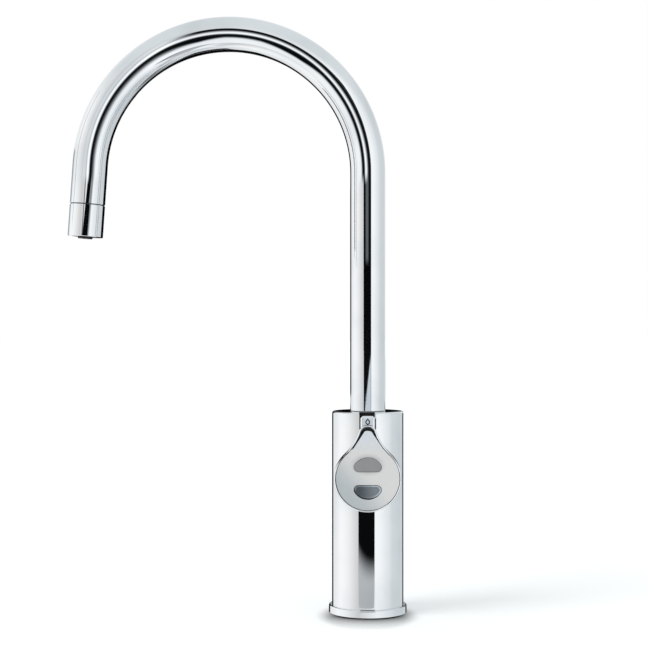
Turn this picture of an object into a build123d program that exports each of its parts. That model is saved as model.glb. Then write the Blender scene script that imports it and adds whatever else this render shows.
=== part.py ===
from build123d import *
from math import atan2, cos, hypot, radians, sin, sqrt
import os

# Filtered-water kitchen tap: swivelling gooseneck spout, round body, and a teardrop pull lever that carries
# two push buttons. Millimetres, +Z up. The origin is the centre of the seat on the worktop. The lever faces
# -Y and, at rest, the spout points along -X.

# Body and base ring
BODY_R = 22.5
BODY_WALL = 2.5
BODY_TOP = 126.5
DECK = 4.0
TOP_EDGE_R = 1.2
RING_R = 24.5
RING_TOP = 5.0
RING_EDGE_R = 0.9
RING_BORE_R = 17.7
SPIGOT_HEIGHT = 2.2
GASKET_R, GASKET_BORE_R = 23.6, 18.7
GASKET_PROUD, GASKET_TOP = 0.4, 1.0

# Spout and nozzle
TUBE_R = 11.1
TUBE_WALL = 1.2
BEND_R = 88.0
BEND_Z = 276.2
SPOUT_LEAN = 4.0
SEAM_Z = 257.2
SEAM_GAP = 0.6
COLLAR_R = 10.4
NOZZLE_LENGTH = 20.8
NOZZLE_EDGE = 0.25
NOZZLE_THREAD_R = 9.2
NOZZLE_THREAD = 8.5
NOZZLE_BORE_R = 8.9
LIP_R, LIP_HEIGHT = 8.3, 0.6
NIPPLE_BORE_R = 7.5
NIPPLE_DEPTH = 10.0
INSERT_START = 9.6
INSERT_BOSS_R, INSERT_BOSS = 4.6, 1.2
JET_R = 1.9
SPRAY_HOLES, SPRAY_HOLE_R, SPRAY_RING_R = 16, 0.6, 6.25

# Pad of the lever, seen from the front: a round pad that narrows to a small round top
PAD_R = 20.7
PAD_Z = 86.9
PAD_TOP_R = 5.7
PAD_TOP_Z = 113.7
PAD_WAIST_R = 31.0
PAD_BACK, PAD_FRONT = -24.6, -31.2
PAD_FRONT_EDGE_R, PAD_BACK_EDGE_R = 1.1, 0.4
PAD_WALL = 1.6
RIM_WIDTH = 1.2
FACE_RECESS, FACE_THICKNESS, FACE_GAP = 0.15, 0.85, 0.1
FACE_TOP_Z, FACE_TOP_R = 115.95, 6.6
WEB_THICKNESS = 1.2
COVER_THICKNESS, COVER_TOP_Z = 1.2, 110.6
COVER_SCREWS = ((-14.2, 94.0), (14.2, 94.0), (0.0, 71.2))
PILLAR_R = 1.6
COVER_SCREW_R, COVER_SCREW_HEAD_R = 0.8, 1.8
BUMPER_R, BUMPER_Z, BUMPER_CLEAR = 2.5, 80.0, 0.12

# Knuckle, neck and barrel of the lever, and the notch that they stand in
PIVOT_Y, PIVOT_Z = -16.4, 119.4
PIN_R = 1.25
BARREL_R, BARREL_END = 2.9, 1.1
NECK_HALF = 4.4
NECK_FOOT_Z = 115.2
KNUCKLE_FRONT, KNUCKLE_BACK, KNUCKLE_TOP = -28.0, -20.4, 124.8
KNUCKLE_EDGE_R, KNUCKLE_CORNER_R = 1.5, 2.0
NOTCH_HALF, NOTCH_BOTTOM, NOTCH_BACK = 5.2, 110.6, -14.8
INDICATOR_Z = 121.1
DROP_R, DROP_TIP = 1.5, 2.35
LENS_DEPTH = 0.9
LED_R, LED_BACK, LED_LEG_Y = 1.4, -24.9, -26.4

# Half-moon buttons, above and below the middle of the pad
MOON_R = 9.5
MOON_HEIGHT = 8.6
MOON_CORNER_R = 2.8
MOON_OFFSET = 4.15
MOON_CLEAR = 0.2
BUTTON_PROUD = 0.45
BUTTON_TRAVEL = 0.6
BUTTON_FLANGE, FLANGE_CLEAR = 0.8, 0.1
STEM_OFFSET, STEM_R = 8.2, 1.2
BOARD_THICKNESS, BOARD_TOP, BOARD_INSET = 0.8, 114.9, 2.1
TACT_HALF, TACT_HEIGHT, TACT_KEY_R = 2.2, 0.6, 1.1

# Swivel in the body
TAIL_R, TAIL_BORE_R = 9.0, 6.0
TAIL_BOTTOM, TAIL_TOP = 89.2, 146.5
ORING_HEIGHTS = (93.0, 101.4)
ORING_SEAT_R, ORING_SEAT = 7.6, 2.0
TAIL_ORING = (8.345, 0.73)
PORT_Z, PORT_R, CHANNEL_R = 97.0, 2.0, 11.2
STOP_Z, STOP_TIP_R, STOP_SCREW_R = 108.0, 1.25, 2.0
STOP_TIP_Y, STOP_SHOULDER_Y, STOP_END_Y = 7.6, 9.5, 17.5
STOP_SEAT_R, STOP_CLEAR, STOP_MARGIN = 7.4, 0.15, 11.0
SWIVEL_TURN = 180.0
BUSH_R, BUSH_BORE_R, BUSH_BOTTOM, BUSH_FLANGE = 10.3, 9.05, 112.1, 0.4
LOWER_BUSH_TOP = 91.6
SEAL_BORE_R = 9.12
HOUSING_R, HOUSING_FOOT_R, HOUSING_FOOT_TOP = 13.0, 16.0, 103.0
FLANGE_R, FLANGE_THICKNESS, FLANGE_FLAT = 19.6, 4.0, -12.2
FLANGE_SCREW_R, FLANGE_SCREW_ANGLES = 16.4, (20, 90, 160)
BLOCK_BOTTOM, BLOCK_TOP = 70.0, 88.0
PORT_GASKET = 0.8
PORT_SCREW_R, PORT_SCREW_ANGLES = 13.2, (30, 150, 270)
PORT_SCREW_SEAT, PORT_SCREW_TIP = 78.0, 94.0
M3_R, M3_CLEAR_R, M3_HEAD_R = 1.5, 1.6, 2.75
SCREW_BITE = 2.6
PLUG_R = 2.4

# Water tubes, a quarter of an inch across, and the base
FEED_R, FEED_BORE_R, FEED_SOCKET_R, FEED_SOCKET = 3.175, 2.2, 3.2, 7.0
SEAL_SOCKET = 8.0
TUBE_ORING = (3.76, 0.55)
TUBE_ORING_SEAT_R, TUBE_ORING_SEAT, TUBE_ORING_DEPTH = 4.4, 1.8, 3.7
COLD_Y = 12.0
BASE_BOTTOM, BASE_TOP = 7.4, 24.0
INLET_THREAD_R, INLET_DEPTH = 3.5, 10.0
FITTING_R, FITTING_TOP = 5.2, 27.0
STUD_HOLE_R, STUD_SPACING, STUD_DEPTH = 2.5, 25.0, 12.0
SOCKET_R, SOCKET_WALL, SOCKET_Y, SOCKET_DEPTH = 4.0, 0.8, -12.0, 8.0
CONTACTS, CONTACT_R, CONTACT_RING_R, CONTACT_LENGTH = 4, 0.35, 1.5, 5.6
LEAD_R, LEAD_Y, LEAD_BEND_R = 0.9, -17.6, 22.0

# Hinge bracket, switch and spring under the deck
BRACKET_BOTTOM, BRACKET_BACK = 103.6, -13.6
BRACKET_SCREW_X, BRACKET_SCREW_Y, BRACKET_SCREW_R, BRACKET_HEAD_R = 10.6, -14.5, 1.25, 1.85
LUG_INNER, LUG_OUTER = 4.9, 8.6
EAR_OUTER, EAR_BACK = 12.9, -12.5
SWITCH_HALF, SWITCH_FRONT, SWITCH_BACK = 4.7, -18.9, -13.5
SWITCH_BOTTOM, SWITCH_TOP = 105.2, 110.2
SWITCH_PINS, SWITCH_PIN_R = ((-16.6, 106.4), (-16.6, 109.0)), 0.7
GUIDE_R, GUIDE_TOP = 1.6, 112.6
GLAND_R, GLAND = 1.3, 0.7
CAM_R, CAM_BACK, CAM_DOWN, CAM_HALF = 1.2, 2.0, 2.4, 1.6
PLUNGER_X, PLUNGER_R, PLUNGER_BOTTOM, PLUNGER_GAP = -1.7, 1.0, 109.2, 0.15
SPRING_WIRE_R, SPRING_MID_R, SPRING_TURNS, SPRING_PITCH = 0.3, 1.75, 3, 0.75
SPRING_X, FRONT_LEG, BACK_LEG = 1.6, 3.4, 3.0
COUNTERBORE_R = 2.2
SHELF_HALF, SHELF_FRONT, SHELF_THICKNESS = 0.6, -14.6, 1.6
LEVER_LEAD_R, LEVER_LEAD_BEND_R = 0.6, 2.7
LEAD_X, LEAD_Z, LEAD_END_Y = 2.6, 113.9, -15.6

# Gap between pieces that are pressed, screwed or glued together, and how far a cut runs past what it opens
SLIP = 0.05
OVER = 1.0
FAR = 400.0

# Levels that follow from the sizes above
TUBE_BORE_R = TUBE_R - TUBE_WALL
TUBE_FOOT = BODY_TOP + BUSH_FLANGE
SHELL_BORE_R = BODY_R - BODY_WALL
DECK_UNDER = BODY_TOP - DECK
HOUSING_BOTTOM = BLOCK_TOP + PORT_GASKET
FLANGE_UNDER = DECK_UNDER - FLANGE_THICKNESS
WEB_FRONT = PAD_FRONT + FACE_RECESS + FACE_THICKNESS
WEB_BACK = WEB_FRONT + WEB_THICKNESS
COVER_FRONT = PAD_BACK - COVER_THICKNESS
BOARD_FRONT = COVER_FRONT - 1.0
BOARD_BACK = BOARD_FRONT + BOARD_THICKNESS
TACT_TOP = BOARD_FRONT - TACT_HEIGHT
EAR_BOTTOM = PIVOT_Z + PIN_R + SLIP
SPRING_LEG_X = SPRING_X + SPRING_TURNS * SPRING_PITCH
LEG_Z = PIVOT_Z - SPRING_MID_R
PLUNGER_Y = PIVOT_Y + 1.5
PLUNGER_TOP = PIVOT_Z - CAM_DOWN - CAM_R - PLUNGER_GAP


# Plain solids

def rod(r, z0, z1, x=0.0, y=0.0):
    """A round bar along Z."""
    return Pos(x, y, z0) * Cylinder(r, z1 - z0, align=(Align.CENTER, Align.CENTER, Align.MIN))


def ring(r_out, r_in, z0, z1, x=0.0, y=0.0):
    """A round bar along Z with a bore."""
    return rod(r_out, z0, z1, x, y) - rod(r_in, z0 - OVER, z1 + OVER, x, y)


def bar_x(r, x0, x1, y, z):
    """A round bar along X."""
    return Pos((x0 + x1) / 2, y, z) * Rot(0, 90, 0) * Cylinder(r, x1 - x0)


def bar_y(r, y0, y1, x, z):
    """A round bar along Y."""
    return Pos(x, (y0 + y1) / 2, z) * Rot(90, 0, 0) * Cylinder(r, y1 - y0)


def block(x0, x1, y0, y1, z0, z1):
    """A box between two corners."""
    return Pos((x0 + x1) / 2, (y0 + y1) / 2, (z0 + z1) / 2) * Box(x1 - x0, y1 - y0, z1 - z0)


def oring(mid_r, thick_r, z):
    """An O-ring lying level."""
    return Pos(0, 0, z) * Torus(mid_r, thick_r)


def top_edge(shape):
    """The highest round edge of a solid."""
    return shape.edges().filter_by(GeomType.CIRCLE).sort_by(Axis.Z)[-1]


def back_edge(shape):
    """The round edge of a solid that lies furthest back."""
    return shape.edges().filter_by(GeomType.CIRCLE).sort_by(Axis.Y)[-1]


def front_slab(sketch, back, front):
    """A sketch drawn in X and Z, made solid from one depth along Y to another nearer the front."""
    plane = Plane(origin=(0, back, 0), x_dir=(1, 0, 0), z_dir=(0, -1, 0))
    return extrude(plane * sketch, amount=back - front)


def screw(place, tip, seat, shank_r, head_r, head):
    """A screw at an X and Y that points up, its head below the seat, with a hexagon socket."""
    x, y = place
    shape = rod(shank_r, seat - head / 2, tip, x, y) + rod(head_r, seat - head, seat, x, y)
    hexagon = Pos(x, y, seat - head) * RegularPolygon(head_r * 0.55, 6)
    return shape - extrude(hexagon, amount=head * 0.55)


def around(r, degrees):
    """The point at a radius and an angle from +X."""
    return r * cos(radians(degrees)), r * sin(radians(degrees))


# Outlines of the pad, the buttons and the indicator

def waist_centre():
    """Centre of the arc that hollows the pad's right side, touching the round pad and its round top."""
    big, small, rise = PAD_R + PAD_WAIST_R, PAD_TOP_R + PAD_WAIST_R, PAD_TOP_Z - PAD_Z
    up = (big**2 - small**2 + rise**2) / (2 * rise)
    return sqrt(big**2 - up**2), PAD_Z + up


def mirrored(point):
    """The same point on the left of the middle line."""
    return -point[0], point[1]


def teardrop(inset=0.0):
    """The pad's outline, drawn in by an inset all round."""
    waist_x, waist_z = waist_centre()

    def towards_waist(z, r):
        length = hypot(waist_x, waist_z - z)
        return waist_x / length * r, z + (waist_z - z) / length * r

    low = towards_waist(PAD_Z, PAD_R - inset)
    high = towards_waist(PAD_TOP_Z, PAD_TOP_R - inset)
    middle = (atan2(low[1] - waist_z, low[0] - waist_x) + atan2(high[1] - waist_z, high[0] - waist_x)) / 2
    r = PAD_WAIST_R + inset
    hollow = (waist_x + r * cos(middle), waist_z + r * sin(middle))
    outline = Wire([
        ThreePointArc(low, (0, PAD_Z - PAD_R + inset), mirrored(low)),
        ThreePointArc(mirrored(low), mirrored(hollow), mirrored(high)),
        ThreePointArc(mirrored(high), (0, PAD_TOP_Z + PAD_TOP_R - inset), high),
        ThreePointArc(high, hollow, low),
    ])
    return Sketch() + make_face(outline)


def below(sketch, z):
    """The part of a front outline that lies below a height."""
    return sketch & (Pos(0, z - FAR / 2) * Rectangle(FAR, FAR))


def moon(side, grow=0.0):
    """A half-moon button's outline, side 1 above the middle of the pad and -1 below it."""
    disc = Pos(0, MOON_OFFSET + MOON_HEIGHT - MOON_R) * Circle(MOON_R + grow)
    half = disc & (Pos(0, MOON_OFFSET - grow + FAR / 2) * Rectangle(FAR, FAR))
    half = fillet(half.vertices().sort_by(Axis.Y)[:2], MOON_CORNER_R + grow)
    turned = half if side > 0 else Rot(0, 0, 180) * half
    return Pos(0, PAD_Z) * turned


def drop(grow=0.0):
    """The indicator's outline: round below, pointed above."""
    r = DROP_R + grow
    tip = DROP_TIP + grow * DROP_TIP / DROP_R
    touch = (r * sqrt(1 - (r / tip) ** 2), r * r / tip)
    outline = Wire([
        Line((0, tip), touch),
        ThreePointArc(touch, (0, -r), mirrored(touch)),
        Line(mirrored(touch), (0, tip)),
    ])
    return Pos(0, INDICATOR_Z) * (Sketch() + make_face(outline))


# The spout and its outlet

def lean_direction():
    """Unit vector down the leaning leg of the spout, as X and Z."""
    return -sin(radians(SPOUT_LEAN)), -cos(radians(SPOUT_LEAN))


def bend_end():
    """Where the bend stops and the leaning leg begins, as X and Z."""
    lean = radians(SPOUT_LEAN)
    return -BEND_R - BEND_R * cos(lean), BEND_Z + BEND_R * sin(lean)


def seam_point():
    """Centre of the spout where the nozzle begins, as X and Z."""
    x, z = bend_end()
    dx, dz = lean_direction()
    return x + dx * (SEAM_Z - z) / dz, SEAM_Z


def swept(r, start_z, past_seam):
    """A round bar along the spout's centreline, from a height on the riser to a distance past the seam."""
    end_x, end_z = bend_end()
    seam_x, seam_z = seam_point()
    dx, dz = lean_direction()
    path = Wire([
        Line((0, 0, start_z), (0, 0, BEND_Z)),
        ThreePointArc((0, 0, BEND_Z), (-BEND_R, 0, BEND_Z + BEND_R), (end_x, 0, end_z)),
        Line((end_x, 0, end_z), (seam_x + dx * past_seam, 0, seam_z + dz * past_seam)),
    ])
    return sweep(Pos(0, 0, start_z) * Circle(r), path=path)


def at_outlet(shape):
    """Moves a shape made about Z, with Z 0 at the seam and +Z down the leg, to the outlet."""
    x, z = seam_point()
    dx, dz = lean_direction()
    return Plane(origin=(x, 0, z), x_dir=(0, 1, 0), z_dir=(dx, 0, dz)) * shape


def spout_tube():
    """The gooseneck, open at both ends."""
    return swept(TUBE_R, TUBE_FOOT, 0) - swept(TUBE_BORE_R, TUBE_FOOT, 0)


def inner_tube():
    """The near-boiling water's own tube, on the spout's centreline from the swivel to the outlet."""
    foot = BLOCK_TOP - SEAL_SOCKET + 0.5
    reach = INSERT_START + 5.9
    return swept(FEED_R, foot, reach) - swept(FEED_BORE_R, foot, reach)


def nozzle_nipple():
    """Brazed in the end of the tube, with a collar that shows as a groove and a thread for the nozzle."""
    shape = rod(TUBE_BORE_R - SLIP, -NIPPLE_DEPTH, 0) + rod(COLLAR_R, 0, SEAM_GAP)
    shape += rod(NOZZLE_THREAD_R, SEAM_GAP, NOZZLE_THREAD)
    return at_outlet(shape - rod(NIPPLE_BORE_R, -FAR, FAR))


def nozzle_sleeve():
    """Chrome end of the spout, screwed over the nipple, with an inner lip that holds the insert."""
    shape = rod(TUBE_R, SEAM_GAP, NOZZLE_LENGTH)
    shape = chamfer(shape.edges().filter_by(GeomType.CIRCLE), NOZZLE_EDGE)
    shape -= rod(NOZZLE_THREAD_R + SLIP, 0, NOZZLE_THREAD + 0.5)
    shape -= rod(NOZZLE_BORE_R, NOZZLE_THREAD, NOZZLE_LENGTH - LIP_HEIGHT)
    return at_outlet(shape - rod(LIP_R, 0, FAR))


def outlet_insert():
    """Black flow straightener: a middle jet for the near-boiling water and a ring of jets for the cold."""
    seat = NOZZLE_LENGTH - LIP_HEIGHT
    face = seat - 3.2
    shape = rod(NOZZLE_BORE_R - SLIP, INSERT_START, seat)
    shape -= ring(NOZZLE_BORE_R - 1, INSERT_BOSS_R, INSERT_START - OVER, face)
    shape += rod(INSERT_BOSS_R, seat - OVER, NOZZLE_LENGTH + INSERT_BOSS)
    shape -= rod(FEED_SOCKET_R, INSERT_START - OVER, INSERT_START + 6)
    shape -= rod(JET_R, 0, FAR)
    for i in range(SPRAY_HOLES):
        shape -= rod(SPRAY_HOLE_R, face - OVER, FAR, *around(SPRAY_RING_R, i * 360 / SPRAY_HOLES))
    return at_outlet(shape)


def outlet_oring():
    """Seals the insert against the end of the nipple."""
    return at_outlet(oring(NOZZLE_BORE_R - 0.55, 0.5, NOZZLE_THREAD + 0.55))


def spout_tail():
    """Brass tail brazed in the tube's foot. It turns in the housing and lets cold water in from the side."""
    shape = rod(TUBE_BORE_R - SLIP, TUBE_FOOT, TAIL_TOP) + rod(TAIL_R, TAIL_BOTTOM, TUBE_FOOT)
    shape -= rod(TAIL_BORE_R, -FAR, FAR)
    for z in ORING_HEIGHTS:
        shape -= ring(TAIL_R + OVER, ORING_SEAT_R, z - ORING_SEAT / 2, z + ORING_SEAT / 2)
    for degrees in (0, 90):
        shape -= Pos(0, 0, PORT_Z) * Rot(0, 0, degrees) * Rot(0, 90, 0) * Cylinder(PORT_R, 3 * TAIL_R)
    return shape - stop_groove()


def tail_orings():
    """Seals above and below the tail's side ports."""
    return Compound(children=[oring(*TAIL_ORING, z) for z in ORING_HEIGHTS])


def stop_groove():
    """A groove part of the way round the tail. The stop screw runs in it and ends the swivel."""
    half = STOP_TIP_R + STOP_CLEAR
    span = SWIVEL_TURN + 2 * STOP_MARGIN
    arc = CenterArc((0, 0), 2 * TAIL_R, 90 + STOP_MARGIN - span, span)
    sector = make_face(Wire([Line((0, 0), arc @ 0), arc, Line(arc @ 1, (0, 0))]))
    groove = extrude(Pos(0, 0, STOP_Z - half) * (Sketch() + sector), amount=2 * half)
    return groove - rod(STOP_SEAT_R, -FAR, FAR)


def stop_screw():
    """Grub screw at the back: its tip runs in the tail's groove, so it holds the spout and stops it."""
    shape = bar_y(STOP_TIP_R, STOP_TIP_Y, STOP_SHOULDER_Y + SLIP, 0, STOP_Z)
    shape += bar_y(STOP_SCREW_R, STOP_SHOULDER_Y, STOP_END_Y, 0, STOP_Z)
    plane = Plane(origin=(0, STOP_END_Y, STOP_Z), x_dir=(1, 0, 0), z_dir=(0, -1, 0))
    return shape - extrude(plane * RegularPolygon(1.15, 6), amount=2.4)


def access_plug():
    """Push-in plug in the shell's back, over the stop screw."""
    shape = bar_y(PLUG_R - SLIP, SHELL_BORE_R + 0.3, BODY_R - 0.1, 0, STOP_Z)
    return fillet(back_edge(shape), 0.3)


# The swivel's housing in the body

def swivel_housing():
    """Brass housing hung from the deck: two bushes, the seal bore and the cold water's way to the tail."""
    shape = rod(HOUSING_R, HOUSING_BOTTOM, DECK_UNDER)
    shape += rod(HOUSING_FOOT_R, HOUSING_BOTTOM, HOUSING_FOOT_TOP)
    shape += rod(FLANGE_R, FLANGE_UNDER, DECK_UNDER) & block(-FAR, FAR, FLANGE_FLAT, FAR, 0, FAR)
    shape -= rod(SEAL_BORE_R, 0, FAR)
    shape -= rod(BUSH_R + SLIP, BUSH_BOTTOM, FAR)
    shape -= rod(BUSH_R + SLIP, 0, LOWER_BUSH_TOP)
    shape -= rod(CHANNEL_R, PORT_Z - PORT_R, PORT_Z + PORT_R)
    shape -= rod(PORT_R, 0, PORT_Z + PORT_R, 0, COLD_Y)
    shape -= bar_y(STOP_SCREW_R + SLIP, STOP_TIP_Y, FAR, 0, STOP_Z)
    for angle in PORT_SCREW_ANGLES:
        shape -= rod(M3_R + SLIP, 0, PORT_SCREW_TIP + 0.5, *around(PORT_SCREW_R, angle))
    for angle in FLANGE_SCREW_ANGLES:
        shape -= rod(M3_CLEAR_R, HOUSING_FOOT_TOP + OVER, FAR, *around(FLANGE_SCREW_R, angle))
    return shape


def upper_bush():
    """Flanged acetal bush: the tube's foot turns on its flange, which shows as a thin line."""
    shape = rod(BUSH_R, BUSH_BOTTOM, BODY_TOP) + rod(TUBE_R - 0.15, BODY_TOP, TUBE_FOOT)
    return shape - rod(BUSH_BORE_R, 0, FAR)


def lower_bush():
    """Plain acetal bush round the foot of the tail."""
    return ring(BUSH_R, BUSH_BORE_R, HOUSING_BOTTOM, LOWER_BUSH_TOP - SLIP)


def port_gasket():
    """Flat gasket between the port block and the housing."""
    shape = ring(HOUSING_FOOT_R - 0.2, FEED_R + 0.5, BLOCK_TOP, HOUSING_BOTTOM)
    shape -= rod(PORT_R, 0, FAR, 0, COLD_Y)
    for angle in PORT_SCREW_ANGLES:
        shape -= rod(M3_CLEAR_R, 0, FAR, *around(PORT_SCREW_R, angle))
    return shape


def port_block():
    """Closes the housing from below and takes both feed tubes."""
    oring_seat = BLOCK_TOP - TUBE_ORING_DEPTH - TUBE_ORING_SEAT / 2
    shape = rod(HOUSING_FOOT_R, BLOCK_BOTTOM, BLOCK_TOP)
    shape -= rod(FEED_BORE_R, 0, FAR)
    shape -= rod(FEED_SOCKET_R, BLOCK_TOP - SEAL_SOCKET, FAR)
    shape -= rod(TUBE_ORING_SEAT_R, oring_seat, oring_seat + TUBE_ORING_SEAT)
    shape -= rod(PORT_R, 0, FAR, 0, COLD_Y)
    for y in (0, COLD_Y):
        shape -= rod(FEED_SOCKET_R, 0, BLOCK_BOTTOM + FEED_SOCKET, 0, y)
    for angle in PORT_SCREW_ANGLES:
        place = around(PORT_SCREW_R, angle)
        shape -= rod(M3_CLEAR_R, 0, FAR, *place) + rod(M3_HEAD_R + 0.15, 0, PORT_SCREW_SEAT, *place)
    return shape


def inner_tube_oring():
    """Seals the inner tube where it turns in the port block."""
    return oring(*TUBE_ORING, BLOCK_TOP - TUBE_ORING_DEPTH)


def port_screws():
    """Three screws that hold the port block to the housing."""
    return Compound(children=[
        screw(around(PORT_SCREW_R, angle), PORT_SCREW_TIP, PORT_SCREW_SEAT, M3_R, M3_HEAD_R, 3.0)
        for angle in PORT_SCREW_ANGLES
    ])


def housing_screws():
    """Three screws that hold the housing up under the deck."""
    return Compound(children=[
        screw(around(FLANGE_SCREW_R, angle), DECK_UNDER + SCREW_BITE, FLANGE_UNDER, M3_R - SLIP, 2.6, 2.6)
        for angle in FLANGE_SCREW_ANGLES
    ])


# The body, its ring and its base

def body_shell():
    """Round shell with its top deck, notched at the front for the lever's neck."""
    shape = rod(BODY_R, RING_TOP, BODY_TOP)
    shape = fillet(top_edge(shape), TOP_EDGE_R)
    shape -= rod(SHELL_BORE_R, 0, DECK_UNDER)
    shape -= rod(BUSH_R + SLIP, 0, FAR)
    shape -= block(-NOTCH_HALF, NOTCH_HALF, -FAR, NOTCH_BACK, NOTCH_BOTTOM, FAR)
    shape -= bar_y(PLUG_R, STOP_END_Y, FAR, 0, STOP_Z)
    hole_top = DECK_UNDER + SCREW_BITE + 0.2
    for angle in FLANGE_SCREW_ANGLES:
        shape -= rod(M3_R, 0, hole_top, *around(FLANGE_SCREW_R, angle))
    for side in (-1, 1):
        shape -= rod(BRACKET_SCREW_R + SLIP, 0, hole_top, side * BRACKET_SCREW_X, BRACKET_SCREW_Y)
    return shape


def base_ring():
    """Chrome ring under the body, with a spigot that centres the shell and a seat for the gasket."""
    shape = rod(RING_R, GASKET_PROUD, RING_TOP)
    shape = fillet(top_edge(shape), RING_EDGE_R)
    shape += rod(SHELL_BORE_R - 2 * SLIP, GASKET_PROUD, RING_TOP + SPIGOT_HEIGHT)
    shape -= rod(RING_BORE_R, 0, FAR)
    return shape - ring(GASKET_R + 2 * SLIP, GASKET_BORE_R - 2 * SLIP, 0, GASKET_TOP)


def deck_gasket():
    """Rubber ring that stands a little out of the base ring and seals on the worktop."""
    return ring(GASKET_R, GASKET_BORE_R, 0, GASKET_TOP)


def base_block():
    """Screwed into the shell's foot. The fixing studs pull on it; the fittings and socket go through it."""
    shape = rod(SHELL_BORE_R - SLIP, BASE_BOTTOM, BASE_TOP)
    for y in (0, COLD_Y):
        shape -= rod(FITTING_R + SLIP, 0, FAR, 0, y)
    shape -= rod(SOCKET_R + SLIP, 0, FAR, 0, SOCKET_Y)
    for side in (-1, 1):
        shape -= rod(STUD_HOLE_R, 0, BASE_BOTTOM + STUD_DEPTH, side * STUD_SPACING / 2)
    return shape


def inlet_fitting(y):
    """Brass inlet: a thread below for a hose tail and a socket above for the feed tube."""
    shape = rod(FITTING_R, BASE_BOTTOM, FITTING_TOP, 0, y)
    shape -= rod(INLET_THREAD_R, 0, BASE_BOTTOM + INLET_DEPTH, 0, y)
    shape -= rod(FEED_BORE_R, 0, FAR, 0, y)
    return shape - rod(FEED_SOCKET_R, FITTING_TOP - FEED_SOCKET, FAR, 0, y)


def feed_tube(y):
    """Straight tube from an inlet fitting up to the port block."""
    end = FEED_SOCKET - 0.2
    return ring(FEED_R, FEED_BORE_R, FITTING_TOP - end, BLOCK_BOTTOM + end, 0, y)


def signal_socket():
    """Four-pin socket that faces down, for the lead from under the worktop."""
    mouth = BASE_BOTTOM + 0.6
    shape = rod(SOCKET_R, mouth, BASE_TOP - 2, 0, SOCKET_Y)
    shape -= rod(SOCKET_R - SOCKET_WALL, 0, mouth + SOCKET_DEPTH, 0, SOCKET_Y)
    for i in range(CONTACTS):
        x, y = around(CONTACT_RING_R, 45 + 360 / CONTACTS * i)
        root = mouth + SOCKET_DEPTH
        shape += rod(CONTACT_R, root - CONTACT_LENGTH, root + SLIP, x, SOCKET_Y + y)
    return shape


def signal_lead():
    """Lead inside the body, from the socket up to the switch under the lever."""
    points = [(0, SOCKET_Y, BASE_TOP - 2), (0, SOCKET_Y, 36), (0, LEAD_Y, 54), (0, LEAD_Y, SWITCH_BOTTOM)]
    path = FilletPolyline(*points, radius=LEAD_BEND_R)
    print("signal lead: radius", LEAD_BEND_R, "mm, length", round(path.length, 1))
    return sweep(Plane(origin=points[0], z_dir=(0, 0, 1)) * Circle(LEAD_R), path=path)


# The lever's pivot, spring and switch in the body

def hinge_bracket():
    """Two lugs that hold the lever's pin and the switch, with ears screwed up into the deck."""
    shape = block(-LUG_OUTER, LUG_OUTER, -FAR, BRACKET_BACK, BRACKET_BOTTOM, DECK_UNDER)
    shape += block(-EAR_OUTER, EAR_OUTER, -FAR, EAR_BACK, EAR_BOTTOM, DECK_UNDER)
    shape &= rod(SHELL_BORE_R - 0.1, 0, FAR)
    shape -= block(-LUG_INNER, LUG_INNER, -FAR, 0, SWITCH_BOTTOM - SLIP, FAR)
    shelf_top = LEG_Z - SPRING_WIRE_R
    shelf_bottom = shelf_top - SHELF_THICKNESS
    shelf_left = SPRING_LEG_X - SHELF_HALF
    shape += block(shelf_left, LUG_OUTER - OVER, SHELF_FRONT, BRACKET_BACK, shelf_bottom, shelf_top)
    shape -= bar_x(PIN_R + SLIP / 2, -FAR, FAR, PIVOT_Y, PIVOT_Z)
    for y, z in SWITCH_PINS:
        shape -= bar_x(SWITCH_PIN_R + SLIP / 2, -FAR, FAR, y, z)
    for side in (-1, 1):
        shape -= rod(BRACKET_SCREW_R + SLIP, 0, FAR, side * BRACKET_SCREW_X, BRACKET_SCREW_Y)
    return shape - rod(LEAD_R + 0.2, 0, SWITCH_BOTTOM, 0, LEAD_Y)


def bracket_screws():
    """Two screws that hold the bracket's ears up under the deck."""
    return Compound(children=[
        screw((side * BRACKET_SCREW_X, BRACKET_SCREW_Y), DECK_UNDER + SCREW_BITE, EAR_BOTTOM, BRACKET_SCREW_R,
              BRACKET_HEAD_R, 2.2)
        for side in (-1, 1)
    ])


def hinge_pin():
    """Fixed in the lugs. The lever's barrel turns on it."""
    return bar_x(PIN_R, -LUG_OUTER, LUG_OUTER, PIVOT_Y, PIVOT_Z)


def lever_spring():
    """Torsion spring in the end of the barrel, one leg in the neck and one on the bracket's shelf."""
    coil = Helix(SPRING_PITCH, SPRING_TURNS * SPRING_PITCH, SPRING_MID_R)
    start, end = coil @ 0, coil @ 1
    legs = (Line(start, start - Vector(0, FRONT_LEG, 0)), Line(end, end + Vector(0, BACK_LEG, 0)))
    wire = sweep(Plane(origin=start, z_dir=coil % 0) * Circle(SPRING_WIRE_R), path=coil)
    for leg in legs:
        wire += sweep(Plane(origin=leg @ 0, z_dir=leg % 0) * Circle(SPRING_WIRE_R), path=leg)
    return Pos(SPRING_X, PIVOT_Y, PIVOT_Z) * Rot(0, 90, 0) * wire


def dispense_switch():
    """Sealed switch between the lugs. The lever's cam works it through the plunger."""
    shape = block(-SWITCH_HALF, SWITCH_HALF, SWITCH_FRONT, SWITCH_BACK, SWITCH_BOTTOM, SWITCH_TOP)
    shape = chamfer(shape.edges().filter_by(Axis.Y), 0.4)
    shape += rod(GUIDE_R, SWITCH_TOP - OVER, GUIDE_TOP, PLUNGER_X, PLUNGER_Y)
    shape += rod(GLAND_R, SWITCH_TOP - OVER, SWITCH_TOP + GLAND, LEAD_X, LEAD_END_Y)
    shape -= rod(PLUNGER_R + 0.08, PLUNGER_BOTTOM - 1.4, FAR, PLUNGER_X, PLUNGER_Y)
    for y, z in SWITCH_PINS:
        shape -= bar_x(SWITCH_PIN_R + SLIP / 2, -FAR, FAR, y, z)
    return shape


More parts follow.
